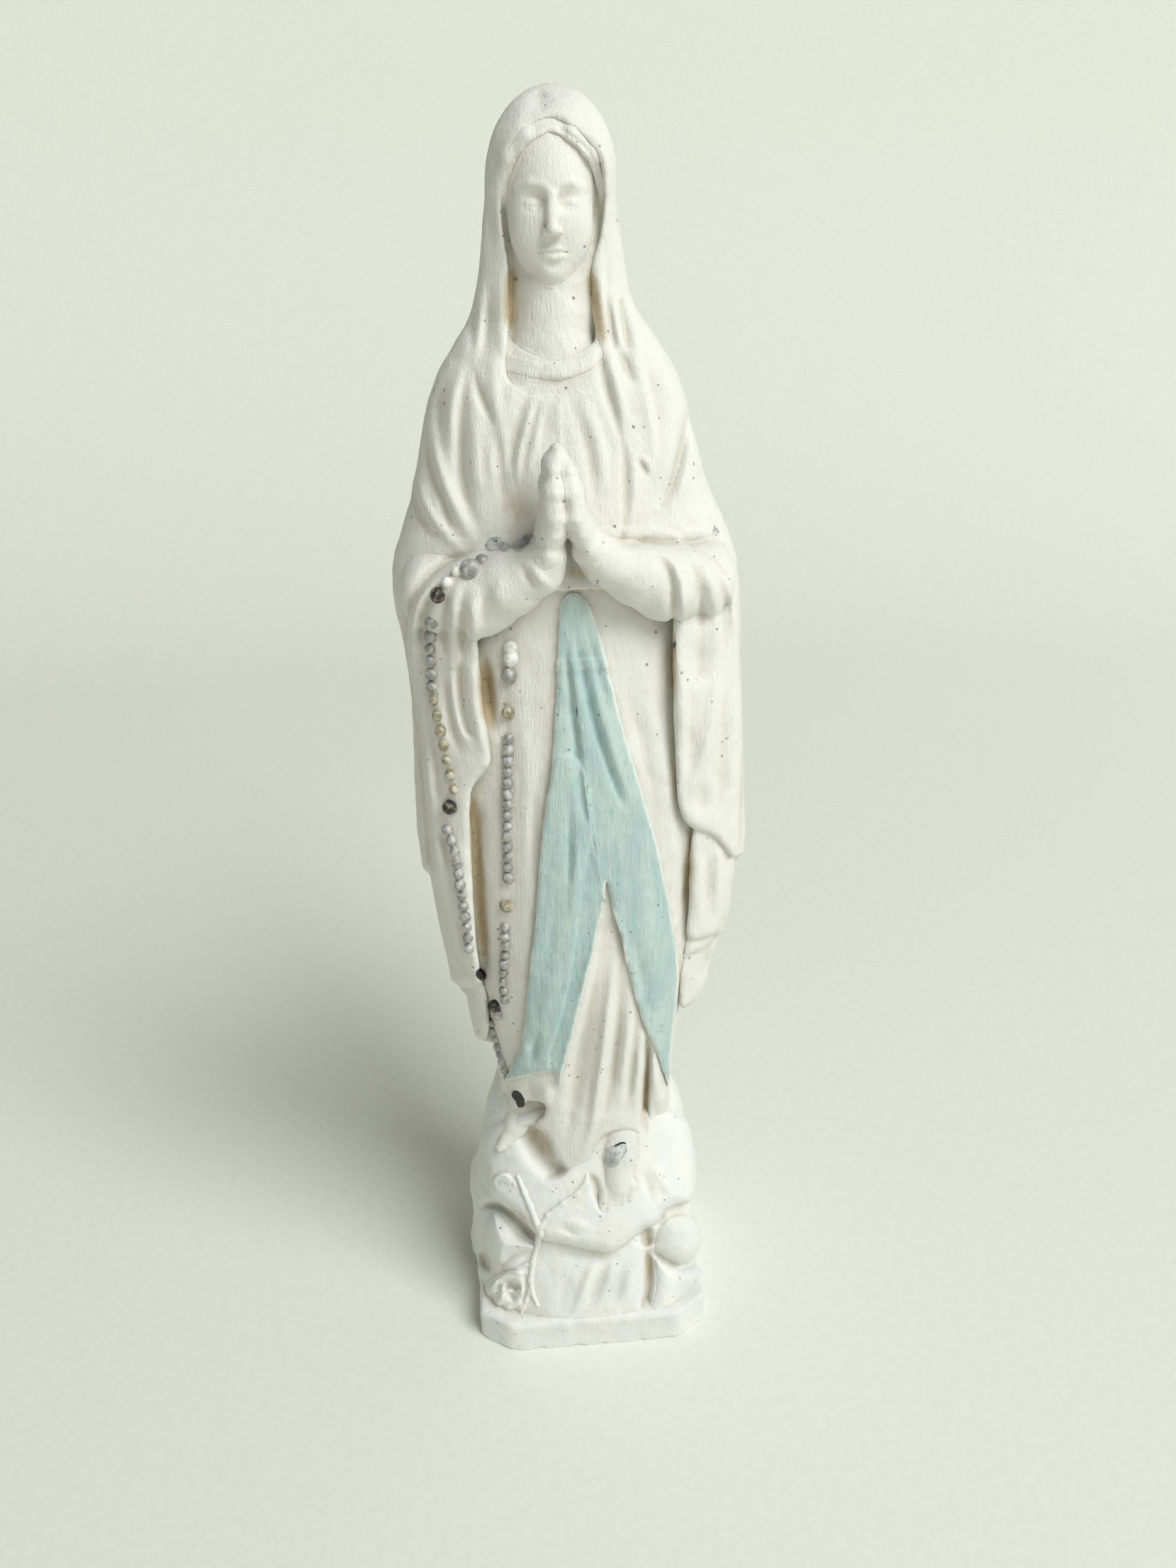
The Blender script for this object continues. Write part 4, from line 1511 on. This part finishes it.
CHALK = (0.84, 0.835, 0.79)
COOL_CHALK = (0.81, 0.82, 0.81)
GREY_CHALK = (0.70, 0.71, 0.69)
STROKE_GREY = (0.72, 0.71, 0.64)
COOL_GREY = (0.60, 0.645, 0.66)
CREASE_DIRT = (0.56, 0.53, 0.43)
HOLLOW_DIRT = (0.60, 0.56, 0.44)
PIT_DIRT = (0.30, 0.27, 0.2)
OCHRE = (0.45, 0.32, 0.15)
UMBER = (0.13, 0.085, 0.04)
SOOT = (0.022, 0.022, 0.022)
CHARCOAL = (0.12, 0.12, 0.12)
LEAD = (0.30, 0.33, 0.36)


def brushed(s):
    """The heights of brush strokes, pits and nodules in the overpaint, as one height, with the
    strokes and the pits by themselves."""
    wide = s.noise(1.9, 1.9, 0.16, 5.0, 0.65)
    fine = s.noise(4.5, 4.5, 0.6, 3.0)
    grain = s.noise(6.0, 6.0, 6.0, 2.0)
    strokes = s.add(s.times(fine, 0.4), wide, 0.6)
    pits = s.math("MAXIMUM", s.dots(0.55, 0.07, 0.17), s.dots(1.1, 0.03, 0.2))
    nodules = s.dots(0.32, 0.05, 0.12)
    height = s.add(s.times(grain, 0.5), strokes, 1.6)
    height = s.add(height, pits, -2.4)
    return s.add(height, nodules, 1.6), strokes, pits


def flaked(s, label, flake, amount, low, high, soft):
    """Where paint has flaked inside a drawn mark: the flakes make its edge ragged, and soft is
    how strong the mark has to be before they count in full."""
    drawn = s.vertex(label)
    ragged = s.ramp(s.add(drawn, flake, amount), low, high)
    return s.times(ragged, s.ramp(drawn, 0.05, soft))


def weather(s, colour, pits):
    """The colour with dirt in the hollows, brown stains and lost paint, and a mask of where
    the paint has gone."""
    patches = s.noise(0.35, 0.35, 0.12, 5.0, 0.65)
    speckle = s.noise(3.0, 3.0, 3.0, 4.0, 0.75)
    flake = s.noise(0.6, 0.6, 0.6, 6.0, 0.8)
    crease = s.ramp(s.add(s.vertex("crease"), patches, 0.22), 0.10, 0.42)
    colour = s.coat(colour, crease, 0.42, CREASE_DIRT)
    hollow = s.ramp(s.add(s.vertex("hollow"), patches, 0.35), 0.16, 0.62)
    colour = s.coat(colour, hollow, 0.36, HOLLOW_DIRT)
    brown = s.vertex("brown")
    stain = s.times(s.ramp(s.add(brown, patches, 0.7), 0.42, 1.15), s.ramp(brown, 0.02, 0.3))
    colour = s.coat(colour, stain, 0.75, OCHRE)
    specks = s.times(s.ramp(speckle, 0.56, 0.66), s.ramp(brown, 0.25, 0.9))
    colour = s.mix(specks, colour, UMBER)
    colour = s.coat(colour, s.vertex("bluish"), 0.45, COOL_GREY)
    silver = flaked(s, "silver", flake, 1.3, 1.04, 1.2, 0.3)
    colour = s.coat(colour, silver, 0.85, s.mix(s.ramp(flake, 0.4, 0.6), LEAD, GREY_CHALK))
    dark = flaked(s, "dark", flake, 0.8, 0.86, 0.94, 0.2)
    colour = s.mix(dark, colour, s.mix(s.ramp(speckle, 0.52, 0.6), SOOT, CHARCOAL))
    colour = s.coat(colour, pits, 0.55, PIT_DIRT)
    return colour, s.math("MAXIMUM", dark, silver)


def plaster(name, tint, depth):
    """Overpainted plaster: a tint with patches of chalk white, greyer between the strokes."""
    s = Shader(name)
    height, strokes, pits = brushed(s)
    colour = s.mix(s.ramp(s.noise(0.16, 0.16, 0.1, 4.0, 0.6), 0.35, 0.7), tint, CHALK)
    colour = s.coat(colour, s.ramp(strokes, 0.62, 0.4), 0.2, STROKE_GREY)
    worn = s.ramp(s.noise(0.5, 0.5, 0.2, 4.0, 0.6), 0.55, 0.75)
    colour = s.coat(colour, worn, 0.4, GREY_CHALK)
    colour, bare = weather(s, colour, pits)
    return s.finish(colour, s.add(0.66, strokes, 0.2), s.add(height, bare, -0.5), depth=depth)


BLUE = (0.45, 0.595, 0.59)
PALE_BLUE = (0.56, 0.69, 0.65)
THIN_BLUE = (0.68, 0.775, 0.73)
STROKE_BLUE = (0.30, 0.45, 0.47)
DEEP_BLUE = (0.20, 0.32, 0.34)
BLUE_CHALK = (0.74, 0.77, 0.72)


def blue_paint():
    """The sash's paint: streaked, chalky, white at its edge and deeper in the folds."""
    s = Shader("blue_paint")
    height, strokes, _ = brushed(s)
    colour = s.mix(s.ramp(s.noise(0.22, 0.22, 0.06, 4.0, 0.6), 0.38, 0.66), BLUE, PALE_BLUE)
    colour = s.coat(colour, s.ramp(strokes, 0.5, 0.68), 0.6, THIN_BLUE)
    colour = s.coat(colour, s.ramp(strokes, 0.48, 0.34), 0.5, STROKE_BLUE)
    chalk = s.ramp(s.noise(1.0, 1.0, 0.09, 5.0, 0.7), 0.62, 0.74)
    colour = s.coat(colour, chalk, 0.55, BLUE_CHALK)
    ragged = s.noise(0.7, 0.7, 0.3, 4.0, 0.7)
    edge = s.ramp(s.add(s.vertex("rim"), ragged, 0.9), 1.0, 1.3)
    colour = s.coat(colour, edge, 0.75, CHALK)
    colour = s.coat(colour, s.ramp(s.vertex("crease"), 0.05, 0.35), 0.5, DEEP_BLUE)
    return s.finish(colour, s.add(0.6, strokes, 0.2), height, depth=0.0002)


def bead_paint():
    """Worn paint in four colours, chosen by each bead's tone, with chalk rubbed over it."""
    s = Shader("bead_paint")
    tone = s.vertex("tone")
    speckle = s.noise(0.8, 0.8, 0.8, 4.0, 0.6)
    silver = s.mix(s.ramp(speckle, 0.38, 0.66), (0.27, 0.27, 0.255), (0.52, 0.52, 0.50))
    gold = s.mix(s.ramp(speckle, 0.36, 0.62), (0.25, 0.21, 0.12), (0.55, 0.51, 0.40))
    white = s.mix(s.ramp(speckle, 0.5, 0.62), CHALK, (0.6, 0.63, 0.64))
    black = s.mix(s.ramp(speckle, 0.5, 0.6), SOOT, (0.22, 0.17, 0.11))
    colour = s.mix(s.ramp(tone, 0.22, 0.3), silver, gold)
    colour = s.mix(s.ramp(tone, 0.52, 0.6), colour, white)
    colour = s.mix(s.ramp(tone, 0.84, 0.88), colour, black)
    chalk = s.ramp(s.noise(0.55, 0.55, 0.55, 3.0, 0.6), 0.56, 0.72)
    colour = s.coat(colour, chalk, 0.4, CHALK)
    metallic = s.times(s.ramp(tone, 0.6, 0.5), 0.15)
    return s.finish(colour, s.add(0.35, speckle, 0.3), speckle, metallic)


def paper():
    s = Shader("paper")
    fibre = s.noise(0.5, 0.5, 0.5, 4.0, 0.6)
    colour = s.mix(s.ramp(fibre, 0.3, 0.7), (0.79, 0.805, 0.74), (0.82, 0.835, 0.77))
    return s.finish(colour, 0.9, fibre)


# ---------------------------------------------------------------- camera, floor and light

SENSOR_WIDTH, LENS = 36, 27.03      # millimetres, as a phone's main lens on a full frame


def look_from(eye_mm, azimuth, pitch, roll):
    """The camera, at the eye that the folds are drawn from, with its turns in degrees."""
    az, p = math.radians(azimuth), math.radians(pitch)
    forward = Vector((-math.sin(az) * math.cos(p), math.cos(az) * math.cos(p), -math.sin(p)))
    right = forward.cross(Vector((0, 0, 1))).normalized()
    up = right.cross(forward)
    c, s = math.cos(math.radians(roll)), math.sin(math.radians(roll))
    across, upward = c * right - s * up, s * right + c * up
    camera = bpy.data.objects.new("camera", bpy.data.cameras.new("camera"))
    camera.matrix_world = Matrix((
        (across.x, upward.x, -forward.x, eye_mm[0] * MM),
        (across.y, upward.y, -forward.y, eye_mm[1] * MM),
        (across.z, upward.z, -forward.z, eye_mm[2] * MM), (0, 0, 0, 1)))
    camera.data.sensor_width = SENSOR_WIDTH
    camera.data.lens = LENS
    camera.data.clip_start = 10 * MM
    bpy.context.scene.collection.objects.link(camera)
    bpy.context.scene.camera = camera


def paper_sweep():
    """A round sheet of paper that lies flat and then curves up all round."""
    centre, flat, bend, top = -0.9, 1.35, 0.35, 0.6     # metres
    spokes = 96
    profile = [(0.01, 0), (0.4, 0), (flat, 0)]
    for angle in np.linspace(0, math.pi / 2, 17)[1:]:
        profile.append((flat + bend * math.sin(angle), bend * (1 - math.cos(angle))))
    profile.append((flat + bend, top))
    turns = np.linspace(0, 2 * math.pi, spokes, endpoint=False)
    verts = [(r * math.cos(t), centre + r * math.sin(t), z) for r, z in profile for t in turns]
    faces = [tuple(range(spokes - 1, -1, -1))]
    for inner in range(0, spokes * (len(profile) - 1), spokes):
        for j in range(spokes):
            k = (j + 1) % spokes
            faces.append((inner + j, inner + k, inner + spokes + k, inner + spokes + j))
    mesh = bpy.data.meshes.new("paper_sweep")
    mesh.from_pydata(verts, [], [face[::-1] for face in faces])
    mesh.polygons.foreach_set("use_smooth", [True] * len(faces))
    sweep = bpy.data.objects.new("paper_sweep", mesh)
    bpy.context.scene.collection.objects.link(sweep)
    mesh.materials.append(paper())


def area_light(name, place, target, size, power, colour):
    data = bpy.data.lights.new(name, "AREA")
    data.size, data.energy, data.color = size, power, colour
    light = bpy.data.objects.new(name, data)
    light.location = place
    light.rotation_euler = (Vector(target) - Vector(place)).to_track_quat("-Z", "Y").to_euler()
    bpy.context.scene.collection.objects.link(light)


def room_light(colour, dark, bright):
    """Light from all round, that grows from dark at -X to bright at +X."""
    world = bpy.data.worlds.new("room")
    world.use_nodes = True
    nodes, links = world.node_tree.nodes, world.node_tree.links
    towards = nodes.new("ShaderNodeSeparateXYZ")
    links.new(nodes.new("ShaderNodeTexCoord").outputs["Generated"], towards.inputs[0])
    brightness = nodes.new("ShaderNodeMapRange")
    brightness.inputs["From Min"].default_value = -1
    brightness.inputs["To Min"].default_value = dark
    brightness.inputs["To Max"].default_value = bright
    links.new(towards.outputs["X"], brightness.inputs["Value"])
    background = nodes["Background"]
    background.inputs["Color"].default_value = (*colour, 1)
    links.new(brightness.outputs["Result"], background.inputs["Strength"])
    bpy.context.scene.world = world


look_from(EYE, azimuth=-4.0, pitch=25.0, roll=1.3)
paper_sweep()
area_light("window", place=(0.96, -1.14, 1.78), target=(0, 0, 0.12), size=1.2, power=47.0,
           colour=(0.985, 1, 0.99))
room_light(colour=(1.0, 0.985, 0.89), dark=0.05, bright=0.27)
bpy.context.scene.view_settings.view_transform = "Standard"


# ---------------------------------------------------------------- the statuette

def tell_tones(mesh, placed):
    """Stores the tone of the nearest bead for each vertex of a strand."""
    points = np.array([v.co for v in mesh.vertices]) / MM
    centres = np.array(placed)
    gaps = ((points[:, None, :] - centres[None, :, :3]) ** 2).sum(axis=2)
    attribute(mesh, "tone", centres[np.argmin(gaps, axis=1), 4])


BASE_PIECES = ("plinth", "rock_mound", "front_ledge", "left_boulder", "right_boulder",
               "round_stone", "rose_stem", "rose_flowers")
figure_plaster = plaster("figure_plaster", CHALK, depth=0.00022)
base_plaster = plaster("base_plaster", COOL_CHALK, depth=0.00012)
blue = blue_paint()
silvered = bead_paint()

for name in PARTS:
    piece = sculpt(name)
    if name.startswith("sash"):
        piece.data.materials.append(blue)
    elif name in STRANDS:
        piece.data.materials.append(silvered)
        tell_tones(piece.data, STRANDS[name])
    elif name in BASE_PIECES:
        piece.data.materials.append(base_plaster)
    else:
        piece.data.materials.append(figure_plaster)
